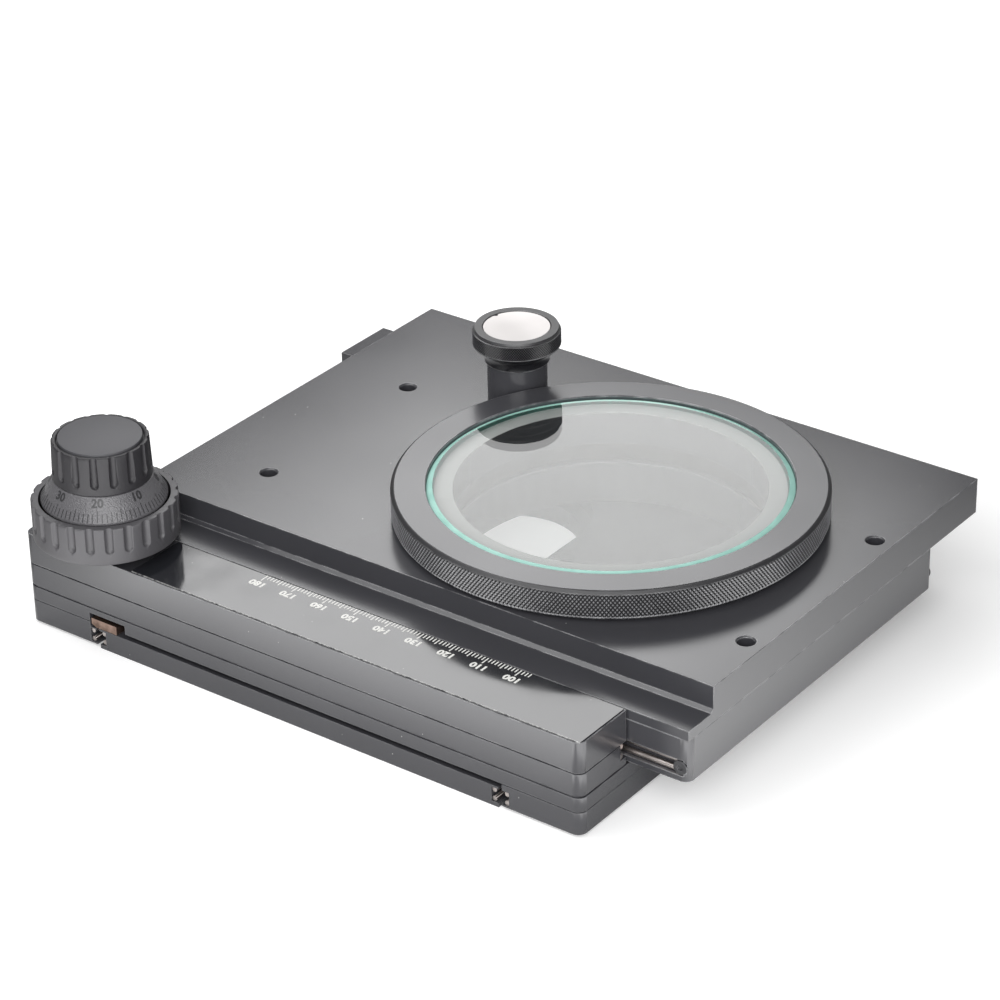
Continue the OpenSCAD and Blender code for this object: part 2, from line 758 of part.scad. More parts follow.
module top_plate() {
  color("gray") difference() {
    translate([carriage_x0, 0, 0]) rotate([90, 0, 90]) linear_extrude(carriage_l)
      polygon([
        [slide_y0, z_top], [top_y1, z_top], [top_y1, z_top_face], [step_y, z_top_face],
        [step_y, z_ledge + step_fillet], [step_y - step_fillet, z_ledge], [slide_y0, z_ledge]
      ]);
    translate([rotor_x, rotor_y, 0]) {
      translate([0, 0, z_top - cut])
        cylinder(h = z_web - z_top + cut, r = tooth_radii(ring_m, ring_gear_n)[3] + gear_pocket_gap);
      translate([0, 0, z_top - cut])
        cylinder(h = top_t + 2 * cut, r = hub_r + run_gap + bearing_wall + seat_gap);
    }
    translate([post_x, post_y, 0]) {
      translate([0, 0, z_top - cut])
        cylinder(h = z_web - z_top + cut, r = tooth_radii(ring_m, ring_pinion_n)[3] + gear_pocket_gap);
      translate([0, 0, z_top]) cylinder(h = top_t + cut, r = spigot_r + seat_gap);
    }
    translate([hole_x, hole_y, 0]) for (sx = [-1, 1], sy = [-1, 1])
      translate([sx * hole_dx / 2, sy * hole_dy / 2, 0]) {
        translate([0, 0, z_top - cut]) cylinder(h = top_t + 2 * cut, r = hole_r);
        translate([0, 0, z_top_face - hole_chamfer])
          cylinder(h = hole_chamfer + cut, r1 = hole_r, r2 = hole_r + hole_chamfer + cut);
      }
    at_plate_screws()
      cylinder(h = plate_screw_head_h + plate_screw_l + axial_gap, r = plate_screw_r + seat_gap);
  }
}

module x_rack() {
  first = floor((x_rack_x0 - idler_b_x) / rack_pitch) + end_gap_n;
  last = floor((x_rack_x0 + x_rack_l - idler_b_x) / rack_pitch) - end_gap_n - 1;
  color("goldenrod") translate([idler_b_x, x_pitch_y, x_rack_z]) linear_extrude(x_rack_h)
    rack_outline(train_m, first, last, x_rack_x0 - idler_b_x, x_rack_x0 + x_rack_l - idler_b_x, x_rack_back);
}

module slide_race_wires() {
  color("silver") for (t = [-1, 1]) {
    rod_x(carriage_x0 + x_race_end + wire_end_gap, carriage_x1 - x_race_end - wire_end_gap,
      front_race_y + x_wire_out, x_race_z + t * x_wire_rise, x_wire_r);
    rod_x(carriage_x0 + x_race_end + wire_end_gap, carriage_x1 - x_race_end - wire_end_gap,
      back_race_y - x_wire_out, x_race_z + t * x_wire_rise, x_wire_r);
  }
}

module race_end_screws() {
  color("silver") at_race_screws() difference() {
    union() {
      translate([0, 0, seat_gap]) cylinder(h = race_screw_head_t, r = race_screw_head);
      translate([0, 0, race_screw_head_t / 2]) cylinder(h = race_screw_l, r = race_screw_r);
    }
    translate([0, 0, -cut]) linear_extrude(cut + socket_deep)
      polygon([for (k = [0:5]) [socket_r * cos(60 * k), socket_r * sin(60 * k)]]);
  }
}

module plate_screws() {
  color("silver") at_plate_screws() {
    translate([0, 0, axial_gap]) cylinder(h = plate_screw_head_h - axial_gap, r = plate_screw_head);
    translate([0, 0, axial_gap])
      cylinder(h = plate_screw_head_h + plate_screw_l - axial_gap, r = plate_screw_r);
  }
}

module ring_bearing() {
  color("peru") translate([rotor_x, rotor_y, 0]) rotate_extrude()
    polygon([
      [hub_r + run_gap, z_web], [hub_r + run_gap + bearing_wall, z_web],
      [hub_r + run_gap + bearing_wall, z_top_face], [hub_r + run_gap + bearing_flange, z_top_face],
      [hub_r + run_gap + bearing_flange, z_top_face + bearing_flange_t],
      [hub_r + run_gap, z_top_face + bearing_flange_t]
    ]);
}

module knob_post() {
  color("dimgray") translate([post_x, post_y, 0]) difference() {
    union() {
      translate([0, 0, z_top_face]) cylinder(h = post_h, r = post_r);
      translate([0, 0, z_top_face - spigot_h]) cylinder(h = spigot_h + cut, r = spigot_r);
    }
    translate([0, 0, z_top]) cylinder(h = top_t + post_h + cut, r = rotation_shaft_r + run_gap);
  }
}

module knurled_ring() {
  z_seat = z_ring_top - glass_in - glass_t;
  color("gray") translate([rotor_x, rotor_y, 0]) difference() {
    rotate_extrude($fn = 144) polygon([
      [clear_r, z_web - axial_gap], [hub_r, z_web - axial_gap], [hub_r, z_ring],
      [ring_r - ring_foot_chamfer, z_ring], [ring_r, z_ring + ring_foot_chamfer],
      [ring_r, z_ring_top - ring_top_chamfer], [ring_r - ring_top_chamfer, z_ring_top],
      [seat_r + seat_chamfer, z_ring_top], [seat_r, z_ring_top - seat_chamfer],
      [seat_r, z_seat], [clear_r, z_seat]
    ]);
    at_gear_screws() translate([0, 0, z_web - axial_gap - cut])
      cylinder(h = gear_screw_l + cut, r = gear_screw_r + seat_gap);
  }
}

module glass_plate() {
  color("lightcyan", 0.4) translate([rotor_x, rotor_y, z_ring_top - glass_in - glass_t])
    cylinder(h = glass_t, r = seat_r - glass_gap, $fn = 144);
}

module gear_ring() {
  color("peru") translate([rotor_x, rotor_y, z_gear]) difference() {
    linear_extrude(gear_t) difference() {
      gear_outline(ring_m, ring_gear_n, ring_turn);
      circle(gear_bore_r, $fn = 144);
    }
    at_gear_screws() {
      translate([0, 0, -cut]) cylinder(h = gear_screw_head_h + cut, r = gear_screw_head + axial_gap);
      cylinder(h = gear_t + cut, r = gear_screw_r + seat_gap);
    }
  }
}

module gear_ring_screws() {
  color("silver") translate([rotor_x, rotor_y, z_gear])
    at_gear_screws() {
      translate([0, 0, axial_gap]) cylinder(h = gear_screw_head_h - axial_gap, r = gear_screw_head);
      translate([0, 0, axial_gap]) cylinder(h = gear_t + gear_screw_l - 2 * axial_gap, r = gear_screw_r);
    }
}

// Ball nosed flutes that run out at the top
module flutes(n, r, z0, z1, turn) {
  for (k = [0:n - 1]) rotate([0, 0, turn + k * 360 / n]) translate([r, 0, z0]) {
    cylinder(h = z1 - z0, r = flute_r, $fn = ball_fn);
    sphere(flute_r, $fn = ball_fn);
  }
}

module fluted_ring() {
  color("dimgray") translate([knob_x, knob_y, 0]) difference() {
    rotate_extrude() polygon([
      [sleeve_r + seat_gap, z_fluted], [fluted_r - rim_chamfer, z_fluted], [fluted_r, z_fluted + rim_chamfer],
      [fluted_r, z_dial - rim_chamfer], [fluted_r - rim_chamfer, z_dial], [fluted_r - fluted_wall, z_dial],
      [fluted_r - fluted_wall, z_fluted + fluted_floor], [fluted_hub_r, z_fluted + fluted_floor],
      [fluted_hub_r, z_fluted + fluted_hub_h], [sleeve_r + seat_gap, z_fluted + fluted_hub_h]
    ]);
    flutes(fluted_n, fluted_r + flute_out, z_fluted + flute_foot, z_dial + cut, 0);
  }
}

module x_sleeve() {
  color("silver") translate([knob_x, knob_y, z_cover + axial_gap]) difference() {
    cylinder(h = z_fluted + sleeve_up - z_cover - axial_gap, r = sleeve_r);
    translate([0, 0, -cut]) cylinder(h = z_fluted + sleeve_up - z_cover + 2 * cut, r = shaft_r + run_gap);
  }
}

module x_pinion() {
  color("goldenrod") translate([knob_x, knob_y, z_train]) linear_extrude(train_t) difference() {
    gear_outline(train_m, pinion_n, x_pinion_turn);
    circle(sleeve_r + seat_gap);
  }
}

module fluted_knob() {
  cap_bore = cap_r + glass_gap;
  z_web_low = z_knob + shaft_up;
  color("dimgray") translate([knob_x, knob_y, 0]) difference() {
    rotate_extrude() polygon([
      [shaft_r + seat_gap, z_knob], [knob_r, z_knob], [knob_r - knob_draft, z_knob_top - rim_chamfer],
      [knob_r - knob_draft - rim_chamfer, z_knob_top], [cap_bore, z_knob_top + knob_dome - cap_edge],
      [cap_bore, z_knob_top + knob_dome - cap_t], [knob_recess_r, z_knob_top + knob_dome - cap_t],
      [knob_recess_r, z_web_low + knob_web], [knob_screw_r + seat_gap, z_web_low + knob_web],
      [knob_screw_r + seat_gap, z_web_low], [shaft_r + seat_gap, z_web_low]
    ]);
    flutes(knob_n, knob_r - knob_draft / 2 + flute_out, z_knob + knob_flute_foot, z_knob_top + cut,
      180 / knob_n);
  }
}

module dial_skirt() {
  web = z_knob - dial_web;
  color("dimgray") translate([knob_x, knob_y, 0]) rotate_extrude() polygon([
    [shaft_r + seat_gap, web], [knob_r - dial_wall, web], [dial_r - dial_wall, z_dial],
    [dial_r, z_dial], [dial_r, z_dial + dial_lip], [knob_r, z_knob], [shaft_r + seat_gap, z_knob]
  ]);
}

module knob_cap() {
  color("gray") translate([knob_x, knob_y, z_knob_top + knob_dome - cap_t]) {
    cylinder(h = cap_t - cap_edge, r = cap_r);
    translate([0, 0, cap_t - cap_edge]) cylinder(h = cap_edge, r1 = cap_r, r2 = cap_r - cap_edge);
  }
}

module y_shaft() {
  z0 = plate_t + y_pinion_lift;
  color("silver") translate([knob_x, knob_y, z0]) difference() {
    cylinder(h = z_knob + shaft_up - seat_gap - z0, r = shaft_r);
    translate([0, 0, z_knob + shaft_up - z0 - knob_screw_l])
      cylinder(h = knob_screw_l + cut, r = knob_screw_r + seat_gap);
  }
}

module y_pinion() {
  color("goldenrod") translate([knob_x, knob_y, plate_t + y_pinion_lift])
    linear_extrude(y_pinion_t) difference() {
      gear_outline(train_m, pinion_n, 0);
      circle(shaft_r + seat_gap);
    }
}

module knob_screw() {
  color("silver") translate([knob_x, knob_y, z_knob + shaft_up + knob_web]) {
    cylinder(h = knob_screw_head_h, r = knob_screw_head);
    translate([0, 0, axial_gap - knob_web - knob_screw_l])
      cylinder(h = knob_web + knob_screw_l, r = knob_screw_r);
  }
}

// One idler of the train on its pin
module idler(n, turn, x, y) {
  color("goldenrod") translate([x, y, z_train]) linear_extrude(train_t) difference() {
    gear_outline(train_m, n, turn);
    circle(idler_pin_r + run_gap);
  }
}

module idler_gear_a() {
  idler(idler_a_n, idler_a_turn, idler_a_x, idler_a_y);
}

module idler_gear_b() {
  idler(idler_b_n, idler_b_turn, idler_b_x, idler_b_y);
}

module rotation_head() {
  z_floor = z_head_top - head_cap_in - head_cap_t;
  z_bore = z_floor - head_recess_h;
  color("dimgray") translate([post_x, post_y, 0]) rotate_extrude() polygon([
    [rotation_shaft_r + seat_gap, z_head], [head_foot_r, z_head],
    [head_foot_r + (head_r - head_foot_r) * cone_mid_out_share, z_head + head_cone * cone_mid_share],
    [head_r - head_chamfer / 2, z_head + head_cone * cone_rim_share], [head_r, z_head + head_cone],
    [head_r, z_head_top - head_chamfer], [head_r - head_chamfer, z_head_top],
    [head_cap_r + glass_gap, z_head_top], [head_cap_r + glass_gap, z_floor], [knob_recess_r, z_floor],
    [knob_recess_r, z_bore], [knob_screw_r + seat_gap, z_bore],
    [knob_screw_r + seat_gap, z_bore - head_web], [rotation_shaft_r + seat_gap, z_bore - head_web]
  ]);
}

module rotation_cap() {
  z_floor = z_head_top - head_cap_in - head_cap_t;
  color("white") translate([post_x, post_y, z_floor]) difference() {
    cylinder(h = head_cap_t, r = head_cap_r);
    rotate([0, 0, head_notch_turn]) translate([head_cap_r, 0, -cut])
      cylinder(h = head_cap_t + 2 * cut, r = head_notch_r, $fn = ball_fn);
  }
}

module rotation_shaft() {
  z_bore = z_head_top - head_cap_in - head_cap_t - head_recess_h - head_web - seat_gap;
  color("silver") translate([post_x, post_y, z_gear]) difference() {
    cylinder(h = z_bore - z_gear, r = rotation_shaft_r);
    translate([0, 0, z_bore - z_gear - head_screw_l])
      cylinder(h = head_screw_l + cut, r = knob_screw_r + seat_gap);
  }
}

module rotation_pinion() {
  color("goldenrod") translate([post_x, post_y, z_gear])
    linear_extrude(gear_t - rotation_pinion_gap) difference() {
      gear_outline(ring_m, ring_pinion_n, rotation_turn);
      circle(rotation_shaft_r + seat_gap);
    }
}

module rotation_screw() {
  z_bore = z_head_top - head_cap_in - head_cap_t - head_recess_h;
  color("silver") translate([post_x, post_y, z_bore]) {
    cylinder(h = knob_screw_head_h, r = knob_screw_head);
    translate([0, 0, axial_gap - head_web - head_screw_l])
      cylinder(h = head_web + head_screw_l, r = knob_screw_r);
  }
}

module x_cage_strips() {
  l = x_cage_n * ball_step;
  h = x_race_h - 2 * cage_side_gap;
  color("khaki") for (y = [front_race_y, back_race_y])
    translate([cage_rest_x, y, x_race_z]) difference() {
      cube([l, cage_t, h], center = true);
      for (k = [0:x_cage_n - 1]) translate([(k - (x_cage_n - 1) / 2) * ball_step, 0, 0])
        rotate([90, 0, 0])
          cylinder(h = 2 * cut, r = sqrt(pow(ball_r, 2) - pow(cage_t / 2, 2)) + cage_hole_gap, center = true);
    }
}

module x_cage_balls() {
  color("silver") for (y = [front_race_y, back_race_y], k = [0:x_cage_n - 1])
    translate([cage_rest_x + (k - (x_cage_n - 1) / 2) * ball_step, y, x_race_z])
      sphere(ball_r, $fn = ball_fn);
}

module y_cage_strips() {
  l = y_cage_n * ball_step;
  h = y_race_h - 2 * cage_side_gap;
  t = cage_t + cage_side_gap;
  color("khaki") for (s = [-1, 1]) translate([s * y_race_x, 0, y_race_z]) difference() {
    cube([t, l, h], center = true);
    for (k = [0:y_cage_n - 1]) translate([0, (k - (y_cage_n - 1) / 2) * ball_step, 0])
      rotate([0, 90, 0])
        cylinder(h = 2 * cut, r = sqrt(pow(ball_r, 2) - pow(t / 2, 2)) + cage_hole_gap, center = true);
  }
}

module y_cage_balls() {
  color("silver") for (s = [-1, 1], k = [0:y_cage_n - 1])
    translate([s * y_race_x, (k - (y_cage_n - 1) / 2) * ball_step, y_race_z]) sphere(ball_r, $fn = ball_fn);
}

base_plate();
y_rack();
rack_screws();
base_race_wires();
side_bars();
centre_plate();
front_bar();
front_cover();
scale_plate();
back_bar();
bar_race_wires();
side_race_wires();
bar_screws();
side_bar_screws();
idler_pins();
slide_plate();
top_plate();
x_rack();
slide_race_wires();
race_end_screws();
plate_screws();
ring_bearing();
knob_post();
knurled_ring();
glass_plate();
gear_ring();
gear_ring_screws();
fluted_ring();
x_sleeve();
x_pinion();
fluted_knob();
dial_skirt();
knob_cap();
y_shaft();
y_pinion();
knob_screw();
idler_gear_a();
idler_gear_b();
rotation_head();
rotation_cap();
rotation_shaft();
rotation_pinion();
rotation_screw();
x_cage_strips();
x_cage_balls();
y_cage_strips();
y_cage_balls();
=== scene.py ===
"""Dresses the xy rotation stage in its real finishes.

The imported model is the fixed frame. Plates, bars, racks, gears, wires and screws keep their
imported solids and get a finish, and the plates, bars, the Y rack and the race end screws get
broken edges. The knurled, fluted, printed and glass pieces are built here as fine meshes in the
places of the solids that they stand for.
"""

import logging
import math
from dataclasses import dataclass
from enum import Enum
from typing import Callable, Sequence

import bmesh
import bpy
import numpy as np
from mathutils import Matrix, Vector


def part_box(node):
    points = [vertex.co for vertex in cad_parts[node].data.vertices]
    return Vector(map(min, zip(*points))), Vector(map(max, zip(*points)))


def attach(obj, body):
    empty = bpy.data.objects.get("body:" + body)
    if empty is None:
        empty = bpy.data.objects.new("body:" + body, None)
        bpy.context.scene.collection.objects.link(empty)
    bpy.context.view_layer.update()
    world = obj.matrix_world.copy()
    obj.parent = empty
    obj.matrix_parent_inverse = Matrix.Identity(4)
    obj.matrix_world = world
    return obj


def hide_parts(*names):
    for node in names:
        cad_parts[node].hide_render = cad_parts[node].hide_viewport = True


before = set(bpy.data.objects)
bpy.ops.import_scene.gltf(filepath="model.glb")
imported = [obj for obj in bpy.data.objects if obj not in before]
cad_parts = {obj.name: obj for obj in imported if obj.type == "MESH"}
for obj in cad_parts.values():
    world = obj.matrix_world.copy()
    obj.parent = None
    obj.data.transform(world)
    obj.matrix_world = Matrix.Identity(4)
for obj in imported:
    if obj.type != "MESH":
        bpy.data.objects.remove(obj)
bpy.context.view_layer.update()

Tree = bpy.types.NodeTree
Node = bpy.types.Node
Socket = bpy.types.NodeSocket
Piece = bpy.types.Object
Spot = tuple[float, float]
LOG = logging.getLogger("stage")
MM = 0.001
TURN = 2 * math.pi
PEAK = "knurl peak"
OXIDE_IOR = 1.77
PATCHY = (0.3, 0.7)
SAME_POINT = 0.0005 * MM
SAME_CAD_POINT = 0.001 * MM
FLAT_WITHIN = math.radians(1)
EDGE_OVER = math.radians(40)


class Body(Enum):
    """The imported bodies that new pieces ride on."""

    FRAME_Y = "y_carriage"
    ROTOR = "rotor"
    LOWER_KNOB = "x_knob"
    UPPER_KNOB = "y_knob"
    ROTATION_KNOB = "rotation_knob"


class Shading(Enum):
    """How the faces of a piece meet in the light."""

    FLAT = 0.0
    GROUND = 10.0
    TURNED = 28.0
    MOULDED = 50.0


def linear(code: str) -> tuple[float, float, float, float]:
    """Turns an sRGB hex colour into linear values.

    Args:
        code: the colour as #rrggbb.

    Returns:
        Linear red, green and blue with an alpha of 1.
    """
    shares = [int(code[at : at + 2], 16) / 255 for at in (1, 3, 5)]
    made = [c / 12.92 if c <= 0.04045 else ((c + 0.055) / 1.055) ** 2.4 for c in shares]
    return (*made, 1.0)


def add(tree: Tree, kind: str, inputs: dict | Sequence = (), **settings: object) -> Node:
    """Adds one node with its settings and links.

    Args:
        tree: the node tree that gets the node.
        kind: the node's type without its ShaderNode prefix.
        inputs: a value, a feeding socket or a feeding node for each input by its name or
            number, or for the first inputs in order.
        **settings: the node's own properties.

    Returns:
        The new node.
    """
    node = tree.nodes.new("ShaderNode" + kind)
    for key, value in settings.items():
        setattr(node, key, value)
    pairs = inputs.items() if isinstance(inputs, dict) else enumerate(inputs)
    for key, value in pairs:
        if isinstance(value, Node):
            value = value.outputs[0]
        if isinstance(value, Socket):
            tree.links.new(value, node.inputs[key])
        else:
            node.inputs[key].default_value = value
    return node


def joined(tree: Tree, operation: str, *values: Node | Socket | float) -> Node:
    """Joins values one after another by the same sum.

    Args:
        tree: the node tree.
        operation: the sum, such as ADD or MULTIPLY.
        *values: two or more values.

    Returns:
        The node of the result.
    """
    result, *others = values
    for value in others:
        result = add(tree, "Math", (result, value), operation=operation)
    return result


def layered(tree: Tree, base: str, *coats: tuple[Node | Socket, str]) -> Socket:
    """Lays colours over one another by their shares.

    Args:
        tree: the node tree.
        base: the lowest colour.
        *coats: the share and the colour of each coat over it.

    Returns:
        The colour that is seen.
    """
    seen = linear(base)
    for share, colour in coats:
        coat = {0: share, 6: seen, 7: linear(colour)}
        seen = add(tree, "Mix", coat, data_type="RGBA").outputs[2]
    return seen


@dataclass(frozen=True)
class Finish:
    """A surface finish that becomes one material.

    Attributes:
        name: the finish in a maker's words.
        slot: the record's material slot that it belongs to.
    """

    name: str
    slot: str

    def shade(self, tree: Tree) -> Node:
        """Builds the finish's nodes.

        Args:
            tree: the material's node tree.

        Returns:
            The node of the surface.
        """
        raise NotImplementedError

    def material(self) -> bpy.types.Material:
        """Makes the finish's material on first use.

        Returns:
            The finish's material.
        """
        made = bpy.data.materials.get(self.name)
        if made is None:
            made = bpy.data.materials.new(self.name)
            made.use_nodes = True
            made.node_tree.nodes.clear()
            surface = self.shade(made.node_tree)
            add(made.node_tree, "OutputMaterial", {"Surface": surface})
        return made


def grit(tree: Tree, size_mm: float, detail: float = 2.0) -> Socket:
    """Adds noise whose lumps have a real size.

    Args:
        tree: the node tree.
        size_mm: the width of one lump.
        detail: how many finer layers lie on it.

    Returns:
        The noise value, 0 to 1.
    """
    place = add(tree, "TexCoord").outputs["Object"]
    noise = add(tree, "TexNoise", {"Vector": place, "Scale": 1 / (size_mm * MM), "Detail": detail})
    return noise.outputs["Factor"] if "Factor" in noise.outputs else noise.outputs["Fac"]


def specks(tree: Tree, step_mm: float, size_mm: float, kept: float) -> Node:
    """Scatters small specks of dust.

    Args:
        tree: the node tree.
        step_mm: the mean distance between places for a speck.
        size_mm: the width of the largest speck.
        kept: the share of the places that hold one.

    Returns:
        1 on a speck and 0 off it.
    """
    place = add(tree, "TexCoord").outputs["Object"]
    cells = add(tree, "TexVoronoi", {"Vector": place, "Scale": 1 / (step_mm * MM)})
    colour = add(tree, "SeparateColor", {0: cells.outputs["Color"]})
    radius = size_mm / 2 / step_mm
    solid, sure = 0.6, 0.9
    near = add(tree, "MapRange", (cells.outputs["Distance"], radius, radius * solid))
    chosen = add(tree, "MapRange", (colour.outputs[0], kept, kept * sure))
    return joined(tree, "MULTIPLY", near, chosen)


def edge_rub(tree: Tree, width_mm: float, patch_mm: float) -> Node:
    """Finds outer edges and rubs them in patches.

    Args:
        tree: the node tree.
        width_mm: how far from an edge the rubbing reaches.
        patch_mm: the length of one rubbed patch.

    Returns:
        1 where the edge is rubbed and 0 elsewhere.
    """
    level, turned = 0.985, 0.93
    whole, bare = 0.36, 0.58
    soft = add(tree, "Bevel", {"Radius": width_mm * MM}, samples=4).outputs["Normal"]
    hard = add(tree, "NewGeometry").outputs["Normal"]
    along = add(tree, "VectorMath", (soft, hard), operation="DOT_PRODUCT").outputs["Value"]
    edge = add(tree, "MapRange", (along, level, turned))
    patch = add(tree, "MapRange", (grit(tree, patch_mm, 4.0), whole, bare))
    return joined(tree, "MULTIPLY", edge, patch)


@dataclass(frozen=True)
class AnodisedAluminium(Finish):
    """Aluminium, bead blasted and anodised black.

    The oxide is hard and fine grained, so the eye sees a dark grey satin with soft, wide
    highlights, a faint grain, hand marks that change the gloss, and edges rubbed paler.

    Attributes:
        base: the dyed oxide.
        pale: the oxide where it is thinner.
        rubbed: the metal showing on rubbed edges.
        dust: dry dust on the surface.
        roughness: the blasted surface.
        grain_mm: the blasting grit's marks, drawn twice as coarse as real so that they show.
        grain_depth: the strength of the grain for the light.
        grain_high_mm: the height of the grain.
        smudge_mm: the width of a hand mark.
        smudge_gloss: how much a hand mark changes the roughness each way.
        rub: the share of the rubbed colour on an edge.
        rub_mm: how far from an edge the rubbing reaches.
        rub_patch_mm: the length of one rubbed patch.
        broken_mm: how far the broken edges round over.
        dust_step_mm: the distance between places for a speck.
        dust_mm: the width of a speck.
        dust_kept: the share of places with a speck.
    """

    base: str = "#3b3b3f"
    pale: str = "#434347"
    rubbed: str = "#cfcfd1"
    dust: str = "#b9b8b4"
    roughness: float = 0.22
    grain_mm: float = 0.2
    grain_depth: float = 0.12
    grain_high_mm: float = 0.02
    smudge_mm: float = 38.0
    smudge_gloss: float = 0.05
    rub: float = 0.5
    rub_mm: float = 0.45
    rub_patch_mm: float = 5.0
    broken_mm: float = 0.18
    dust_step_mm: float = 3.2
    dust_mm: float = 0.32
    dust_kept: float = 0.16

    def shade(self, tree: Tree) -> Node:
        """Builds the finish's nodes.

        Args:
            tree: the material's node tree.

        Returns:
            The node of the surface.
        """
        hand = grit(tree, self.smudge_mm, 1.0)
        edges = edge_rub(tree, self.rub_mm, self.rub_patch_mm)
        rub = joined(tree, "MULTIPLY", edges, self.rub)
        dust = specks(tree, self.dust_step_mm, self.dust_mm, self.dust_kept)
        coats = (hand, self.pale), (rub, self.rubbed), (dust, self.dust)
        tint = layered(tree, self.base, *coats)
        swing = self.smudge_gloss
        ends = (0.0, 1.0, self.roughness - swing, self.roughness + swing)
        gloss = add(tree, "MapRange", (hand, *ends))
        grain = {
            "Height": grit(tree, self.grain_mm),
            "Strength": self.grain_depth,
            "Distance": self.grain_high_mm * MM,
        }
        relief = add(tree, "Bump", grain)
        if self.broken_mm > 0:
            broken = {"Radius": self.broken_mm * MM, "Normal": relief}
            relief = add(tree, "Bevel", broken, samples=6)
        surface = {"Base Color": tint, "Roughness": gloss, "IOR": OXIDE_IOR, "Normal": relief}
        return add(tree, "BsdfPrincipled", surface)


@dataclass(frozen=True)
class KnurledAluminium(Finish):
    """Black anodised aluminium with a rolled diamond knurl.

    The pale peaks are a painted highlight over some finger rubbing, and the nearly black grooves
    are painted shade, so the eye sees a pale net of peaks over dark grooves.

    Attributes:
        peak: the peaks, a painted highlight over some rubbing.
        groove: the grooves, painted shade.
        roughness: the rolled faces.
        shine: how strongly the faces mirror, where 0.5 is clean oxide.
        dirt_top: how far up a diamond the painted shade of the grooves reaches, as a share of its
            height.
        patch_mm: the width of a patch with less rubbing and a dimmer painted highlight on the
            peaks.
        least_rub: the share of the rubbing and painted highlight left in such a patch.
    """

    peak: str = "#b8b8bc"
    groove: str = "#151517"
    roughness: float = 0.3
    shine: float = 0.4
    dirt_top: float = 0.25
    patch_mm: float = 3.0
    least_rub: float = 0.6

    def shade(self, tree: Tree) -> Node:
        """Builds the finish's nodes.

        Args:
            tree: the material's node tree.

        Returns:
            The node of the surface.
        """
        # The peaks' pale colour is a painted highlight over some rubbing; the grooves' dark colour
        # is painted shade.
        height = add(tree, "Attribute", attribute_name=PEAK).outputs["Fac"]
        reach = (0.2, 0.7, self.least_rub, 1.0)
        rub_and_highlight_patches = add(tree, "MapRange", (grit(tree, self.patch_mm, 3.0), *reach))
        clean = add(tree, "MapRange", (height, self.dirt_top, 1.0))
        rubbed = joined(tree, "MULTIPLY", clean, rub_and_highlight_patches)
        surface = {
            "Base Color": layered(tree, self.groove, (rubbed, self.peak)),
            "Roughness": self.roughness,
            "IOR": OXIDE_IOR,
            "Specular IOR Level": self.shine,
        }
        return add(tree, "BsdfPrincipled", surface)


@dataclass(frozen=True)
class MouldedPlastic(Finish):
    """Black ABS moulded in a spark eroded tool.

    The tool leaves fine pits, so the eye sees a dull black that sparkles a little where light
    strikes it, with dust caught in the texture.

    Attributes:
        base: the plastic.
        dust: dust in the pits.
        roughness: the moulded surface.
        pit_mm: the tool's pits, drawn a little coarser than real.
        pit_depth: the strength of the pits for the light.
        pit_height_mm: the height of a pit.
        patch_mm: the width of a patch with another gloss.
        dust_step_mm: the distance between places for a speck.
        dust_mm: the width of a speck.
        dust_kept: the share of places with a speck.
        shine: how strongly it mirrors, where 0.5 is clean plastic.
    """

    base: str = "#323134"
    dust: str = "#a5a4a0"
    roughness: float = 0.44
    shine: float = 0.4
    pit_mm: float = 0.3
    pit_depth: float = 0.5
    pit_height_mm: float = 0.03
    patch_mm: float = 9.0
    dust_step_mm: float = 1.6
    dust_mm: float = 0.2
    dust_kept: float = 0.12

    def shade(self, tree: Tree) -> Node:
        """Builds the finish's nodes.

        Args:
            tree: the material's node tree.

        Returns:
            The node of the surface.
        """
        dust = specks(tree, self.dust_step_mm, self.dust_mm, self.dust_kept)
        pits = grit(tree, self.pit_mm, 1.0)
        height = self.pit_height_mm * MM
        relief = add(tree, "Bump", {"Height": pits, "Strength": self.pit_depth, "Distance": height})
        ends = (*PATCHY, self.roughness - 0.04, self.roughness + 0.05)
        surface = {
            "Base Color": layered(tree, self.base, (dust, self.dust)),
            "Roughness": add(tree, "MapRange", (grit(tree, self.patch_mm), *ends)),
            "IOR": 1.53,
            "Specular IOR Level": self.shine,
            "Normal": relief,
        }
        return add(tree, "BsdfPrincipled", surface)


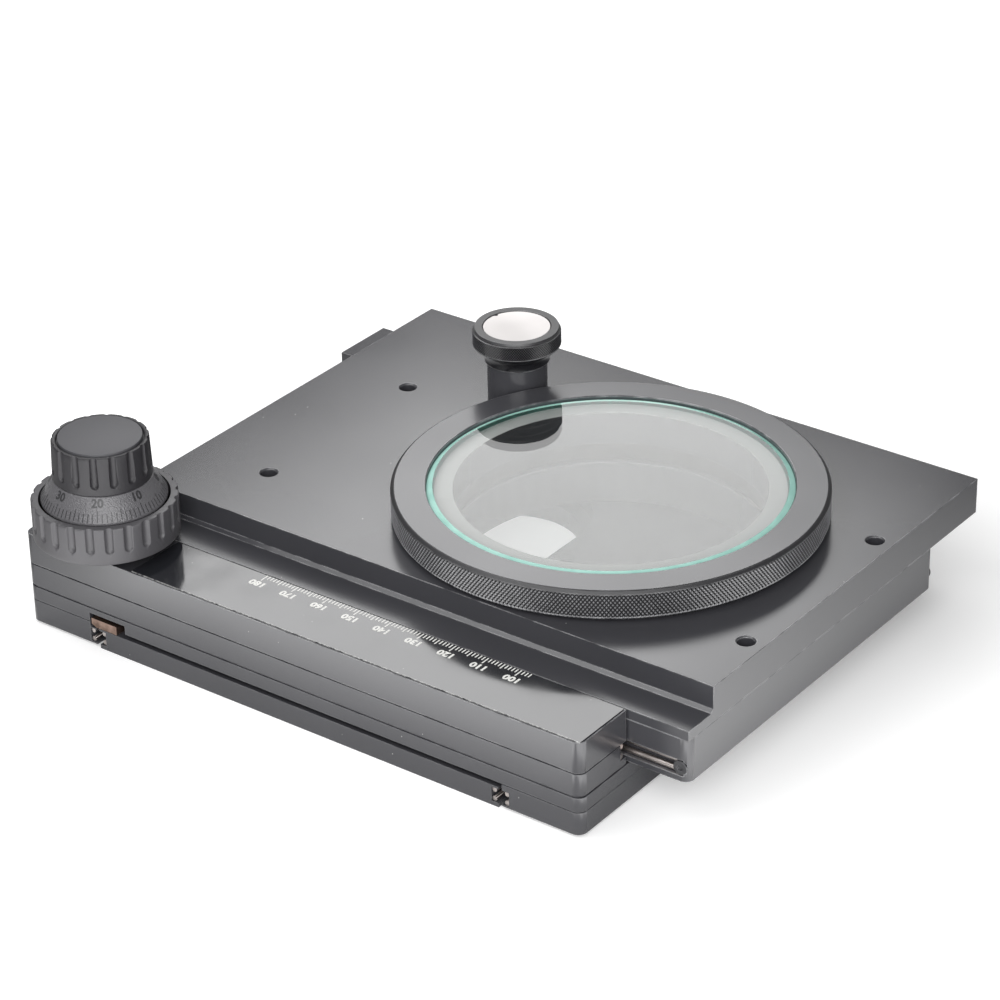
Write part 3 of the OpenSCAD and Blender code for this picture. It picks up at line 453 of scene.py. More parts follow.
@dataclass(frozen=True)
class LacqueredFilm(Finish):
    """Printed film with a gloss lacquer over black.

    It mirrors what stands behind it like dark glass, and shows every speck, fine scratch and
    the white core where its front edge is worn.

    Attributes:
        base: the black under the lacquer.
        mark: dust and scratches.
        core: the film's white core.
        roughness: the lacquer.
        core_mm: how wide the worn front edge is.
        chip_mm: the length of one worn chip.
        smear_mm: the width of a smear in the gloss.
        wave_mm: the width of a wave in the lacquer.
        wave_high_mm: the height of a wave.
        dust_step_mm: the distance between places for a speck.
        dust_mm: the width of a speck.
        dust_kept: the share of places with a speck.
    """

    base: str = "#26272b"
    mark: str = "#b4b4b0"
    core: str = "#a9a9a8"
    roughness: float = 0.1
    core_mm: float = 0.15
    chip_mm: float = 1.1
    smear_mm: float = 14.0
    wave_mm: float = 5.0
    wave_high_mm: float = 0.03
    dust_step_mm: float = 1.9
    dust_mm: float = 0.24
    dust_kept: float = 0.14

    def shade(self, tree: Tree) -> Node:
        """Builds the finish's nodes.

        Args:
            tree: the material's node tree.

        Returns:
            The node of the surface.
        """
        place = add(tree, "TexCoord").outputs["Object"]
        depth = add(tree, "SeparateXYZ", {0: place}).outputs["Y"]
        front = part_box("scale_plate")[0].y
        core = self.core_mm * MM
        edge = add(tree, "MapRange", (depth, front + core, front + core / 2))
        chips = add(tree, "MapRange", (grit(tree, self.chip_mm, 5.0), 0.3, 0.62))
        worn = joined(tree, "MULTIPLY", edge, chips)
        dust = specks(tree, self.dust_step_mm, self.dust_mm, self.dust_kept)
        ends = (*PATCHY, self.roughness - 0.03, self.roughness + 0.05)
        waves = {
            "Height": grit(tree, self.wave_mm),
            "Strength": 0.12,
            "Distance": self.wave_high_mm * MM,
        }
        surface = {
            "Base Color": layered(tree, self.base, (dust, self.mark), (worn, self.core)),
            "Roughness": add(tree, "MapRange", (grit(tree, self.smear_mm, 3.0), *ends)),
            "IOR": 1.84,
            "Normal": add(tree, "Bump", waves),
        }
        return add(tree, "BsdfPrincipled", surface)


@dataclass(frozen=True)
class PrintedInk(Finish):
    """Screen printed ink, a little uneven at its edges and dull against the lacquer.

    Attributes:
        base: the ink.
        thin: the ink where it is thin.
        roughness: the dried ink.
        patch_mm: the width of a thin place.
    """

    base: str = "#f0f0ec"
    thin: str = "#c4c4c0"
    roughness: float = 0.5
    patch_mm: float = 0.5

    def shade(self, tree: Tree) -> Node:
        """Builds the finish's nodes.

        Args:
            tree: the material's node tree.

        Returns:
            The node of the surface.
        """
        thin = add(tree, "MapRange", (grit(tree, self.patch_mm), 0.55, 0.75))
        tint = layered(tree, self.base, (thin, self.thin))
        surface = {"Base Color": tint, "Roughness": self.roughness, "IOR": 1.5}
        return add(tree, "BsdfPrincipled", surface)


@dataclass(frozen=True)
class BareMetal(Finish):
    """A bare metal, turned, ground or drawn.

    The fine lines of the tool stretch the highlight along the cut, and a thin film of oil and
    finger marks changes its gloss in soft patches.

    Attributes:
        base: the metal.
        dull: the metal where it has dulled.
        roughness: the worked surface.
        line_mm: the spacing of the tool lines.
        line_high_mm: the height of a tool line.
        patch_mm: the width of a dull patch.
    """

    base: str = "#c2c3c4"
    dull: str = "#97989a"
    roughness: float = 0.28
    line_mm: float = 0.12
    line_high_mm: float = 0.01
    patch_mm: float = 6.0

    def shade(self, tree: Tree) -> Node:
        """Builds the finish's nodes.

        Args:
            tree: the material's node tree.

        Returns:
            The node of the surface.
        """
        patch = grit(tree, self.patch_mm, 3.0)
        dulled = add(tree, "MapRange", (patch, 0.4, 0.68))
        tint = layered(tree, self.base, (dulled, self.dull))
        lines = grit(tree, self.line_mm, 1.0)
        height = self.line_high_mm * MM
        ends = (*PATCHY, self.roughness - 0.06, self.roughness + 0.1)
        relief = add(tree, "Bump", {"Height": lines, "Strength": 0.15, "Distance": height})
        surface = {
            "Base Color": tint,
            "Roughness": add(tree, "MapRange", (patch, *ends)),
            "Metallic": 1.0,
            "Normal": relief,
        }
        return add(tree, "BsdfPrincipled", surface)


@dataclass(frozen=True)
class FloatGlass(Finish):
    """Clear float glass, polished on both faces.

    At this low angle it mirrors the pale panel over it, over what can be seen through it. Lamp
    light and light from the parts below pass it freely, so the ledge is lit without grain.

    Attributes:
        base: the faint green of the iron in it.
        passed: the share of the lamp light that it passes.
        roughness: the polish.
        ior: how strongly it bends and mirrors.
        crossings: the faces that a ray has crossed when it is below the plate, less and more.
    """

    base: str = "#fafcfb"
    passed: str = "#ebecea"
    roughness: float = 0.0
    ior: float = 1.46
    crossings: tuple[float, float] = (1.4, 1.6)

    def shade(self, tree: Tree) -> Node:
        """Builds the finish's nodes.

        Args:
            tree: the material's node tree.

        Returns:
            The node of the surface.
        """
        surface = {
            "Base Color": linear(self.base),
            "Roughness": self.roughness,
            "IOR": self.ior,
            "Transmission Weight": 1.0,
        }
        plate = add(tree, "BsdfPrincipled", surface)
        clear = add(tree, "BsdfTransparent", {"Color": linear(self.passed)})
        ray = add(tree, "LightPath").outputs
        below = add(tree, "MapRange", (ray["Transmission Depth"], *self.crossings))
        free = joined(tree, "MULTIPLY", below, ray["Is Glossy Ray"])
        free = joined(tree, "MAXIMUM", free, ray["Is Diffuse Ray"], ray["Is Shadow Ray"])
        return add(tree, "MixShader", (free, plate, clear))


@dataclass(frozen=True)
class GroundGlassEdge(Finish):
    """The ground edge of float glass.

    The sea green is the glass's own; its pale tone and its glow are painted light that stands in
    for the light running inside the plate, so the eye sees a pale sea green line.

    Attributes:
        base: the edge's sea green, painted pale.
        deep: a deeper sea green in patches with less painted glow.
        roughness: the ground surface.
        glow: the strength of the edge's painted glow.
        patch_mm: the length of a patch with a deeper green and less painted glow.
    """

    base: str = "#a9d8cd"
    deep: str = "#97c9be"
    roughness: float = 0.45
    glow: float = 0.1
    patch_mm: float = 6.0

    def shade(self, tree: Tree) -> Node:
        """Builds the finish's nodes.

        Args:
            tree: the material's node tree.

        Returns:
            The node of the surface.
        """
        patch = add(tree, "MapRange", (grit(tree, self.patch_mm), 0.4, 0.7))
        tint = layered(tree, self.base, (patch, self.deep))
        # Painted glow: the edge emits its own tint, though it is no lamp.
        surface = {
            "Base Color": tint,
            "Roughness": self.roughness,
            "IOR": 1.5,
            "Emission Color": tint,
            "Emission Strength": self.glow,
        }
        return add(tree, "BsdfPrincipled", surface)


BLASTED = AnodisedAluminium("black anodised aluminium, blasted", "black_anodised")
SHELTERED = AnodisedAluminium("black anodised aluminium, unworn edges", "black_anodised", rub=0.12)
TURNED_BLACK = AnodisedAluminium(
    "black anodised aluminium, turned",
    "black_anodised",
    base="#4b4b4f",
    roughness=0.24,
    grain_depth=0.06,
    dust_kept=0.04,
)
# The seat is painted pale: its light colour is a painted reflection of the overhead panel, which
# the black oxide ledge mirrors through the glass.
SEAT_PAINTED_SHEEN = AnodisedAluminium(
    "aluminium seat, painted sheen",
    "black_anodised",
    base="#b6b6b8",
    pale="#bababc",
    rubbed="#c0c0c0",
    roughness=0.4,
    rub=0.0,
    broken_mm=0.0,
    dust_kept=0.0,
)
# On both knurls the pale peaks are painted highlight over some rubbing and the dark grooves painted
# shade; the oily knurl has a dimmer highlight and a darker shade.
KNURLED_BLACK = KnurledAluminium("black anodised aluminium, knurled", "black_anodised")
KNURLED_OILY = KnurledAluminium(
    "black anodised aluminium, knurled and oily",
    "black_anodised",
    peak="#6f6f73",
    groove="#08080a",
    roughness=0.25,
    shine=0.2,
)
# A darker copy of the turned black oxide; on the ring's rim band above the knurl it is painted
# shade.
TURNED_DARK = AnodisedAluminium(
    "black anodised aluminium, turned edge",
    "black_anodised",
    base="#202023",
    pale="#252528",
    roughness=0.42,
    grain_depth=0.03,
    rub=0.3,
    dust_kept=0.02,
)
POLISHED_BLACK = AnodisedAluminium(
    "black anodised aluminium, polished",
    "black_anodised",
    base="#1c1c1f",
    pale="#222225",
    roughness=0.15,
    grain_depth=0.02,
)
MOULDED = MouldedPlastic("black ABS, moulded", "knob_black")
PEBBLED = MouldedPlastic(
    "black ABS, coarse spark eroded",
    "knob_black",
    base="#646366",
    roughness=0.26,
    shine=0.6,
    pit_mm=0.4,
    pit_depth=1.0,
    pit_height_mm=0.15,
)
HANDLED = MouldedPlastic(
    "black ABS, dulled by hands", "knob_black", base="#535255", roughness=0.4, shine=0.5
)
DISC_BLACK = AnodisedAluminium(
    "black anodised disc", "knob_gloss", base="#4a4a4e", pale="#4c4c50", roughness=0.6, rub=0.0
)
FILM = LacqueredFilm("scale film, gloss black", "scale_black")
WHITE_INK = PrintedInk("white scale ink", "scale_black")
BLACK_INK = PrintedInk(
    "black dial ink", "knob_gloss", base="#353537", thin="#38383a", roughness=0.35
)
STEEL = BareMetal("ground steel", "steel")
WIRE = BareMetal("oiled spring wire", "steel", base="#dad2ce", dull="#b0a8a4", roughness=0.32)
BLACK_OXIDE = BareMetal(
    "steel, black oxide", "steel", base="#6c6c6e", dull="#4c4c4e", roughness=0.34
)
SILVER = BareMetal(
    "satin aluminium disc", "silver", base="#d0cdcc", dull="#cbc8c7", roughness=0.5, patch_mm=30.0
)
BRASS = BareMetal("milled brass", "brass", base="#b08b62", dull="#6f5a45", roughness=0.38)
TARNISHED = BareMetal(
    "tarnished bronze", "brass", base="#a88f82", dull="#786459", roughness=0.42, patch_mm=2.5
)
BLACKENED = BareMetal("blackened bronze", "brass", base="#413a34", dull="#2c2825", roughness=0.4)
BRONZE = BareMetal("turned bronze", "brass", base="#a07a50", dull="#6d5236", roughness=0.3)
CAGE = BareMetal("stamped brass strip", "cage", base="#c9a468", dull="#9c7f50", roughness=0.35)
GLASS = FloatGlass("float glass", "clear_glass")
GLASS_EDGE = GroundGlassEdge("float glass, ground edge", "clear_glass")


@dataclass(frozen=True)
class Axis:
    """An upright axis that a turned piece stands on.

    Attributes:
        x: the axis along X in metres.
        y: the axis along Y in metres.
        low: the piece's lowest height in metres.
        high: the piece's highest height in metres.
        radius: the piece's outer radius in metres.
    """

    x: float
    y: float
    low: float
    high: float
    radius: float

    @classmethod
    def of(cls, node: str) -> "Axis":
        """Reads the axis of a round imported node.

        Args:
            node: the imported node.

        Returns:
            Its axis, heights and radius.
        """
        low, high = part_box(node)
        return cls((low.x + high.x) / 2, (low.y + high.y) / 2, low.z, high.z, (high.x - low.x) / 2)


def finish_mesh(
    name: str, vertices: Sequence, faces: Sequence, finish: Finish, shading: Shading
) -> Piece:
    """Makes an object of points and faces, cleans it and gives it a finish.

    Args:
        name: the piece's name.
        vertices: its points in metres.
        faces: lists of point numbers.
        finish: its finish.
        shading: how its faces meet in the light.

    Returns:
        The new object.
    """
    mesh = bpy.data.meshes.new(name)
    points = [tuple(map(float, v)) for v in vertices]
    mesh.from_pydata(points, [], [tuple(map(int, f)) for f in faces])
    work = bmesh.new()
    work.from_mesh(mesh)
    bmesh.ops.remove_doubles(work, verts=work.verts, dist=SAME_POINT)
    bmesh.ops.dissolve_degenerate(work, edges=work.edges, dist=SAME_POINT)
    bmesh.ops.recalc_face_normals(work, faces=work.faces)
    work.to_mesh(mesh)
    work.free()
    if shading is not Shading.FLAT:
        mesh.polygons.foreach_set("use_smooth", [True] * len(mesh.polygons))
        mesh.set_sharp_from_angle(angle=math.radians(shading.value))
    mesh.materials.append(finish.material())
    made = bpy.data.objects.new(name, mesh)
    bpy.context.scene.collection.objects.link(made)
    return made


def seat(piece: Piece, body: Body, finish: Finish, *nodes: str) -> None:
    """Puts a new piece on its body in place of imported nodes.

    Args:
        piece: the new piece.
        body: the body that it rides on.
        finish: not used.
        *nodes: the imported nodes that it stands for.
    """
    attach(piece, body.value)
    if nodes:
        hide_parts(*nodes)
    LOG.info("built %s on %s", piece.name, body.value)


def turned_grid(
    axis: Axis, radii: np.ndarray, heights: np.ndarray, start: float = 0.0
) -> np.ndarray:
    """Places rows of points round an upright axis.

    Args:
        axis: the axis.
        radii: the radius of each row and column in metres.
        heights: the height of each row in metres.
        start: the angle of the first column in radians.

    Returns:
        Points as rows, columns and x, y, z.
    """
    columns = radii.shape[1]
    angle = start + TURN * np.arange(columns) / columns
    x = axis.x + radii * np.cos(angle)
    y = axis.y + radii * np.sin(angle)
    z = np.repeat(heights[:, None], columns, axis=1)
    return np.stack([x, y, z], axis=2)


def quad_faces(rows: int, columns: int, ring: bool) -> list[tuple[int, ...]]:
    """Joins a grid of points that closes round its axis.

    Args:
        rows: the number of rows.
        columns: the number of columns.
        ring: True joins the last row to the first.

    Returns:
        The faces.
    """
    faces = []
    for row in range(rows if ring else rows - 1):
        after = (row + 1) % rows
        for column in range(columns):
            beside = (column + 1) % columns
            faces.append(
                (
                    row * columns + column,
                    row * columns + beside,
                    after * columns + beside,
                    after * columns + column,
                )
            )
    return faces


def revolve(
    name: str,
    axis: Axis,
    outline: Sequence[Spot],
    finish: Finish,
    sides: int = 192,
    ring: bool = True,
    shading: Shading = Shading.TURNED,
) -> Piece:
    """Turns an outline round an axis.

    Args:
        name: the piece's name.
        axis: the axis.
        outline: radius and height points in metres.
        finish: the finish.
        sides: the number of columns.
        ring: True closes the outline on itself.
        shading: how its faces meet in the light.

    Returns:
        The new object.
    """
    radii = np.repeat(np.array([[r] for r, _ in outline]), sides, axis=1)
    grid = turned_grid(axis, radii, np.array([z for _, z in outline]))
    return finish_mesh(
        name, grid.reshape(-1, 3), quad_faces(len(outline), sides, ring), finish, shading
    )


def round_corner(before: Spot, corner: Spot, after: Spot, radius: float) -> list[Spot]:
    """Rounds one corner of an outline.

    Args:
        before: the point before the corner.
        corner: the corner.
        after: the point after it.
        radius: how far along each side the rounding reaches.

    Returns:
        Points of the rounded corner.
    """
    a, b, c = (np.array(p) for p in (before, corner, after))
    first = b + (a - b) / np.linalg.norm(a - b) * radius
    last = b + (c - b) / np.linalg.norm(c - b) * radius
    shares = np.linspace(0, 1, 4)
    return [tuple((1 - t) ** 2 * first + 2 * t * (1 - t) * b + t * t * last) for t in shares]


def softened(outline: Sequence[Spot], radius: float) -> list[Spot]:
    """Rounds every corner of a closed outline a little.

    Args:
        outline: the closed outline in metres.
        radius: the reach of each rounding in metres.

    Returns:
        The rounded outline.
    """
    count = len(outline)
    made: list[Spot] = []
    for at, corner in enumerate(outline):
        before, after = outline[at - 1], outline[(at + 1) % count]
        room = min(math.dist(before, corner), math.dist(corner, after)) * 0.45
        made += round_corner(before, corner, after, min(radius, room))
    return made


@dataclass(frozen=True)
class Flutes:
    """Ball nosed flutes milled up the side of a knob.

    Attributes:
        count: the number of flutes.
        centre: the radius of the cutter's axis in metres.
        cutter: the cutter's radius in metres.
        foot: the height where the straight part starts in metres.
        columns: the columns of points between two flutes.
        blend: how softly the flute meets the wall in metres.
    """

    count: int
    centre: float
    cutter: float
    foot: float
    columns: int = 40
    blend: float = 0.06 * MM

    def cut(self, radius: float, height: float) -> np.ndarray:
        """Gives the wall's radius round the knob at one height.

        Args:
            radius: the radius without flutes.
            height: the height in metres.

        Returns:
            The radius at each column.
        """
        angle = TURN * np.arange(self.count * self.columns) / (self.count * self.columns)
        step = TURN / self.count
        off = (angle + step / 2) % step - step / 2
        drop = max(self.foot - height, 0.0)
        reach = math.sqrt(max(self.cutter**2 - drop**2, 0.0))
        inside = reach**2 - (self.centre * np.sin(off)) ** 2
        floor = self.centre * np.cos(off) - np.sqrt(np.maximum(inside, 0.0))
        wall = np.where(inside > 0, floor, radius + 10 * self.blend)
        gap = np.clip(0.5 + 0.5 * (wall - radius) / self.blend, 0.0, 1.0)
        return wall * (1 - gap) + radius * gap - self.blend * gap * (1 - gap)


@dataclass
class CoaxialKnobs:
    """The two coaxial drive knobs with the dial cone between them.

    Attributes:
        lower_flutes: flutes on the lower ring.
        upper_flutes: flutes on the upper knob.
        lower_cutter: radius of the lower flutes' cutter.
        lower_out: how far that cutter's axis stands outside the wall.
        cutter: radius of the upper flutes' cutter.
        lower_foot: height of the lower flutes above the ring's foot.
        upper_foot: height of the upper flutes above the knob's foot.
        edge: rounding of the moulded rims.
        edge_rows: rows of points on such a rounding.
        lower_wall: wall of the lower ring at its open top.
        lower_floor: height of the floor inside the lower ring.
        upper_taper: how much narrower the upper knob is at its top.
        upper_out: how far its cutter's axis stands outside the wall.
        cap_stand: how far the cap stands over the knob's rim.
        cap_gap: dark gap round the cap.
        cap_bevel: width and height of the rim's slope into that gap.
        cap_under: depth of the gap below the cap.
        cap_soft: rounding of the cap's edge.
        core: radius of the hole inside the upper knob.
        dial_lip: plain edge of the dial above and below the lower ring's top.
        dial_core: radius of the hole inside the dial.
        dial_soft: rounding of the dial's edges.
        divisions: lines round the dial.
        per_number: lines from one number to the next.
        first_angle: the angle of the number 0 in degrees.
        ink: depth of the ink.
        ink_lift: how far the ink stands off the cone.
        line_half: half the width of a line.
        long_line: the foot and the top of a long line above the lower ring.
        short_line: the foot and the top of a short line above it.
        figure: the height of a figure.
        figure_bold: how much its strokes are widened.
        figure_rise: the middle of the figures above the lower ring.
        figure_lean: a figure's height on the axis over its height on the cone.
    """

    lower_flutes: int = 24
    upper_flutes: int = 16
    lower_cutter: float = 1.25 * MM
    lower_out: float = 0.45 * MM
    cutter: float = 1.1 * MM
    lower_foot: float = 4.3 * MM
    upper_foot: float = 3.1 * MM
    edge: float = 0.35 * MM
    edge_rows: int = 5
    lower_wall: float = 2.0 * MM
    lower_floor: float = 2.5 * MM
    upper_taper: float = 0.4 * MM
    upper_out: float = 0.1 * MM
    cap_stand: float = 0.25 * MM
    cap_gap: float = 0.35 * MM
    cap_bevel: Spot = (0.35 * MM, 0.3 * MM)
    cap_under: float = 0.1 * MM
    cap_soft: float = 0.2 * MM
    core: float = 2 * MM
    dial_lip: float = 0.4 * MM
    dial_core: float = 3 * MM
    dial_soft: float = 0.25 * MM
    divisions: int = 80
    per_number: int = 10
    first_angle: float = 36.0
    ink: float = 0.04 * MM
    ink_lift: float = 0.05 * MM
    line_half: float = 0.11 * MM
    long_line: Spot = (0.7 * MM, 3.2 * MM)
    short_line: Spot = (0.55 * MM, 2.5 * MM)
    figure: float = 2.4 * MM
    figure_bold: float = 0.03
    figure_rise: float = 4.9 * MM
    figure_lean: float = 0.87

    def __post_init__(self) -> None:
        """Reads the places of the knob's solids."""
        self.lower = Axis.of("fluted_ring")
        self.dial = Axis.of("dial_skirt")
        self.upper = Axis.of("fluted_knob")
        self.cap = Axis.of("knob_cap")

    def fluted(
        self,
        name: str,
        axis: Axis,
        flutes: Flutes,
        inner: Sequence[Spot],
        top: float,
        start: float = 0.0,
    ) -> Piece:
        """Builds a fluted wall with rounded rims and a plain inside.

        Args:
            name: the piece's name.
            axis: the knob's axis.
            flutes: its flutes.
            inner: radius and height points from the wall's top inside to its foot.
            top: the wall's radius at its top.
            start: the angle of the first flute in radians.

        Returns:
            The new object.
        """
        edge = self.edge
        bends = np.linspace(0, math.pi / 2, self.edge_rows)
        rows = [
            (axis.radius - edge * (1 - math.sin(bend)), axis.low + edge * (1 - math.cos(bend)))
            for bend in bends
        ]
        fine = np.linspace(flutes.foot - flutes.cutter, flutes.foot, 9)
        plain = np.linspace(axis.low + edge, flutes.foot - flutes.cutter, 4)[1:-1]
        rise = np.linspace(flutes.foot, axis.high - edge, 8)[1:]
        for height in (*plain, *fine, *rise):
            share = (height - axis.low) / (axis.high - axis.low)
            rows.append((axis.radius + (top - axis.radius) * share, float(height)))
        rows += [
            (top - edge * (1 - math.cos(bend)), axis.high - edge * (1 - math.sin(bend)))
            for bend in bends[1:]
        ]
        columns = flutes.count * flutes.columns
        radii = [flutes.cut(r, z) for r, z in rows] + [np.full(columns, r) for r, _ in inner]
        heights = [z for _, z in rows] + [z for _, z in inner]
        grid = turned_grid(axis, np.array(radii), np.array(heights), start)
        faces = quad_faces(len(heights), columns, True)
        return finish_mesh(name, grid.reshape(-1, 3), faces, MOULDED, Shading.MOULDED)

    def build_lower(self) -> None:
        """Builds the lower fluted ring."""
        axis = self.lower
        centre, foot = axis.radius + self.lower_out, axis.low + self.lower_foot
        flutes = Flutes(self.lower_flutes, centre, self.lower_cutter, foot)
        inside = axis.radius - self.lower_wall
        bore = Axis.of("x_sleeve").radius
        floor = axis.low + self.lower_floor
        inner = [(inside, axis.high), (inside, floor), (bore, floor), (bore, axis.low)]
        piece = self.fluted("lower_knob", axis, flutes, inner, axis.radius)
        piece.data.materials[0] = HANDLED.material()
        seat(piece, Body.LOWER_KNOB, HANDLED, "fluted_ring")

    def build_upper(self) -> None:
        """Builds the upper fluted knob and its cap."""
        axis = self.upper
        cap = self.cap
        high = axis.high - self.cap_stand
        wall = Axis(axis.x, axis.y, axis.low, high, axis.radius)
        centre, foot = axis.radius + self.upper_out, axis.low + self.upper_foot
        flutes = Flutes(self.upper_flutes, centre, self.cutter, foot)
        gap = cap.radius + self.cap_gap
        sunk = cap.low - self.cap_under
        inner = [
            (gap + self.cap_bevel[0], high),
            (gap, high - self.cap_bevel[1]),
            (gap, sunk),
            (self.core, sunk),
            (self.core, axis.low),
        ]
        top = axis.radius - self.upper_taper
        piece = self.fluted("upper_knob", wall, flutes, inner, top, math.pi / self.upper_flutes)
        seat(piece, Body.UPPER_KNOB, MOULDED, "fluted_knob")
        soft = self.cap_soft
        bulge = 0.3 * soft
        disc = revolve(
            "upper_knob_disc",
            cap,
            [
                (0, cap.low),
                (cap.radius, cap.low),
                (cap.radius, cap.high - soft),
                (cap.radius - bulge, cap.high - bulge),
                (cap.radius - soft, cap.high),
                (0, cap.high),
            ],
            DISC_BLACK,
            ring=False,
        )
        seat(disc, Body.UPPER_KNOB, DISC_BLACK, "knob_cap")

    def cone(self, height: float) -> float:
        """Gives the dial cone's radius at a height.

        Args:
            height: the height in metres.

        Returns:
            The radius in metres.
        """
        low = self.lower.high + self.dial_lip
        share = (height - low) / (self.dial.high - low)
        return self.dial.radius + (self.upper.radius - self.dial.radius) * share

    def build_dial(self) -> None:
        """Builds the dial cone with its lines and numbers."""
        dial = self.dial
        low = self.lower.high - self.dial_lip
        outline = [
            (self.dial_core, low),
            (dial.radius, low),
            (dial.radius, self.lower.high + self.dial_lip),
            (self.upper.radius, dial.high),
            (self.dial_core, dial.high),
        ]
        cone = revolve("dial_cone", dial, softened(outline, self.dial_soft), PEBBLED)
        seat(cone, Body.UPPER_KNOB, PEBBLED, "dial_skirt")
        self.build_dial_print()

    def on_cone(self, angle: float, height: float) -> tuple[float, float, float]:
        """Gives a point of the ink's face over the dial cone.

        Args:
            angle: the angle round the axis in radians.
            height: the height in metres.

        Returns:
            The point in metres.
        """
        radius = self.cone(height) + self.ink_lift
        return (
            self.dial.x + radius * math.cos(angle),
            self.dial.y + radius * math.sin(angle),
            height,
        )

    def build_dial_print(self) -> None:
        """Prints the dial's lines and numbers on the cone."""
        vertices: list[tuple[float, float, float]] = []
        faces: list[tuple[int, ...]] = []
        foot = self.lower.high
        turn = self.line_half / self.dial.radius
        angles = [
            math.radians(self.first_angle) - TURN * line / self.divisions
            for line in range(self.divisions)
        ]
        for line, angle in enumerate(angles):
            tall = line % (self.per_number // 2) == 0
            bottom, top = self.long_line if tall else self.short_line
            at = len(vertices)
            for side, rise in ((-turn, bottom), (turn, bottom), (turn, top), (-turn, top)):
                vertices.append(self.on_cone(angle + side, foot + rise))
            faces.append((at, at + 1, at + 2, at + 3))
        middle = foot + self.figure_rise
        for line in range(0, self.divisions, self.per_number):
            points, shapes = lettering(str(line), self.figure, self.figure_bold)
            at = len(vertices)
            for x, y in points:
                angle = angles[line] + x / self.cone(middle)
                vertices.append(self.on_cone(angle, middle + y * self.figure_lean))
            faces += [tuple(at + k for k in shape) for shape in shapes]
        piece = finish_mesh("dial_print", vertices, faces, BLACK_INK, Shading.FLAT)
        thicken(piece, self.ink)
        seat(piece, Body.UPPER_KNOB, BLACK_INK)

    def build(self) -> None:
        """Builds every piece of the knobs."""
        self.build_lower()
        self.build_dial()
        self.build_upper()


def thicken(piece: Piece, depth: float) -> None:
    """Gives a printed sheet a small depth towards its inner side.

    Args:
        piece: the sheet.
        depth: the depth in metres.
    """
    shell = piece.modifiers.new("ink depth", "SOLIDIFY")
    shell.thickness = depth
    shell.offset = -1.0


def lettering(
    words: str, tall: float, bold: float = 0.045
) -> tuple[np.ndarray, list[tuple[int, ...]]]:
    """Makes flat bold figures, centred on their middle.

    Args:
        words: the figures.
        tall: the height of a figure in metres.
        bold: how much each stroke is widened, as a share of the height.

    Returns:
        Points as x and y in metres, and faces.
    """
    curve = bpy.data.curves.new("figures", "FONT")
    curve.body = words
    curve.align_x = "CENTER"
    curve.size = 1.0
    curve.offset = bold
    curve.resolution_u = 3
    holder = bpy.data.objects.new("figures", curve)
    bpy.context.scene.collection.objects.link(holder)
    flat = holder.evaluated_get(bpy.context.evaluated_depsgraph_get()).to_mesh()
    points = np.array([v.co[:2] for v in flat.vertices])
    shapes = [tuple(p.vertices) for p in flat.polygons]
    holder.to_mesh_clear()
    bpy.data.objects.remove(holder)
    bpy.data.curves.remove(curve)
    low, high = points.min(axis=0), points.max(axis=0)
    points = (points - (low + high) / 2) * (tall / (high[1] - low[1]))
    return points, shapes


@dataclass
class ScalePrint:
    """The white millimetre scale on the film, read from the back of the stage.

    Attributes:
        first: the highest number.
        last: the lowest line.
        zero_x: the place of the first number along X.
        back_y: the back ends of the lines along Y.
        tall: the length of a ten millimetre line.
        half: the length of a five millimetre line.
        short: the length of a millimetre line.
        line: the width of a line.
        lowest_figure: the lowest number that is printed.
        figure: the height of a figure.
        figure_wide: how much wider a figure is than the typeface's.
        figure_y: the middle of the figures along Y.
        ink: depth of the ink.
        ink_lift: how far the ink stands off the film.
    """

    first: int = 180
    last: int = 97
    zero_x: float = -21.5 * MM
    back_y: float = -58.3 * MM
    tall: float = 2.85 * MM
    half: float = 2.26 * MM
    short: float = 1.64 * MM
    line: float = 0.35 * MM
    lowest_figure: int = 100
    figure: float = 2.35 * MM
    figure_wide: float = 1.1
    figure_y: float = -62.85 * MM
    ink: float = 0.015 * MM
    ink_lift: float = 0.02 * MM

    def build(self) -> None:
        """Prints the lines and the figures."""
        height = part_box("scale_plate")[1].z + self.ink_lift
        vertices: list[tuple[float, float, float]] = []
        faces: list[tuple[int, ...]] = []
        for value in range(self.last, self.first + 1):
            x = self.zero_x + (self.first - value) * MM
            reach = self.tall if value % 10 == 0 else self.half if value % 5 == 0 else self.short
            at = len(vertices)
            for dx, dy in ((-1, -reach), (1, -reach), (1, 0), (-1, 0)):
                vertices.append((x + dx * self.line / 2, self.back_y + dy, height))
            faces.append((at, at + 1, at + 2, at + 3))
        for value in range(self.lowest_figure, self.first + 1, 10):
            x = self.zero_x + (self.first - value) * MM
            points, shapes = lettering(str(value), self.figure)
            at = len(vertices)
            wide = self.figure_wide
            vertices += [(x - px * wide, self.figure_y - py, height) for px, py in points]
            faces += [tuple(at + k for k in shape) for shape in shapes]
        piece = finish_mesh("scale_print", vertices, faces, WHITE_INK, Shading.FLAT)
        thicken(piece, self.ink)
        seat(piece, Body.FRAME_Y, WHITE_INK)


@dataclass(frozen=True)
class Knurl:
    """A diamond knurl rolled into a round edge.

    Attributes:
        diamonds: the number of diamonds round the edge.
        depth: the depth of the grooves in metres.
        slope: a diamond's height over its width.
    """

    diamonds: int
    depth: float
    slope: float = 1.25

    def band(self, radius: float, low: float, high: float) -> tuple[np.ndarray, np.ndarray]:
        """Gives the rows of a knurled band.

        Args:
            radius: the radius over the peaks in metres.
            low: the band's lower height in metres.
            high: the band's upper height in metres.

        Returns:
            The radii of each row and column, and the heights of the rows.
        """
        half = TURN * radius / self.diamonds / 2 * self.slope
        rows = max(2, round((high - low) / half)) + 1
        heights = np.linspace(low, high, rows)
        columns = 2 * self.diamonds
        radii = np.full((rows, columns), radius)
        for row in range(rows):
            radii[row, (np.arange(columns) + row) % 2 == 1] -= self.depth
        return radii, heights


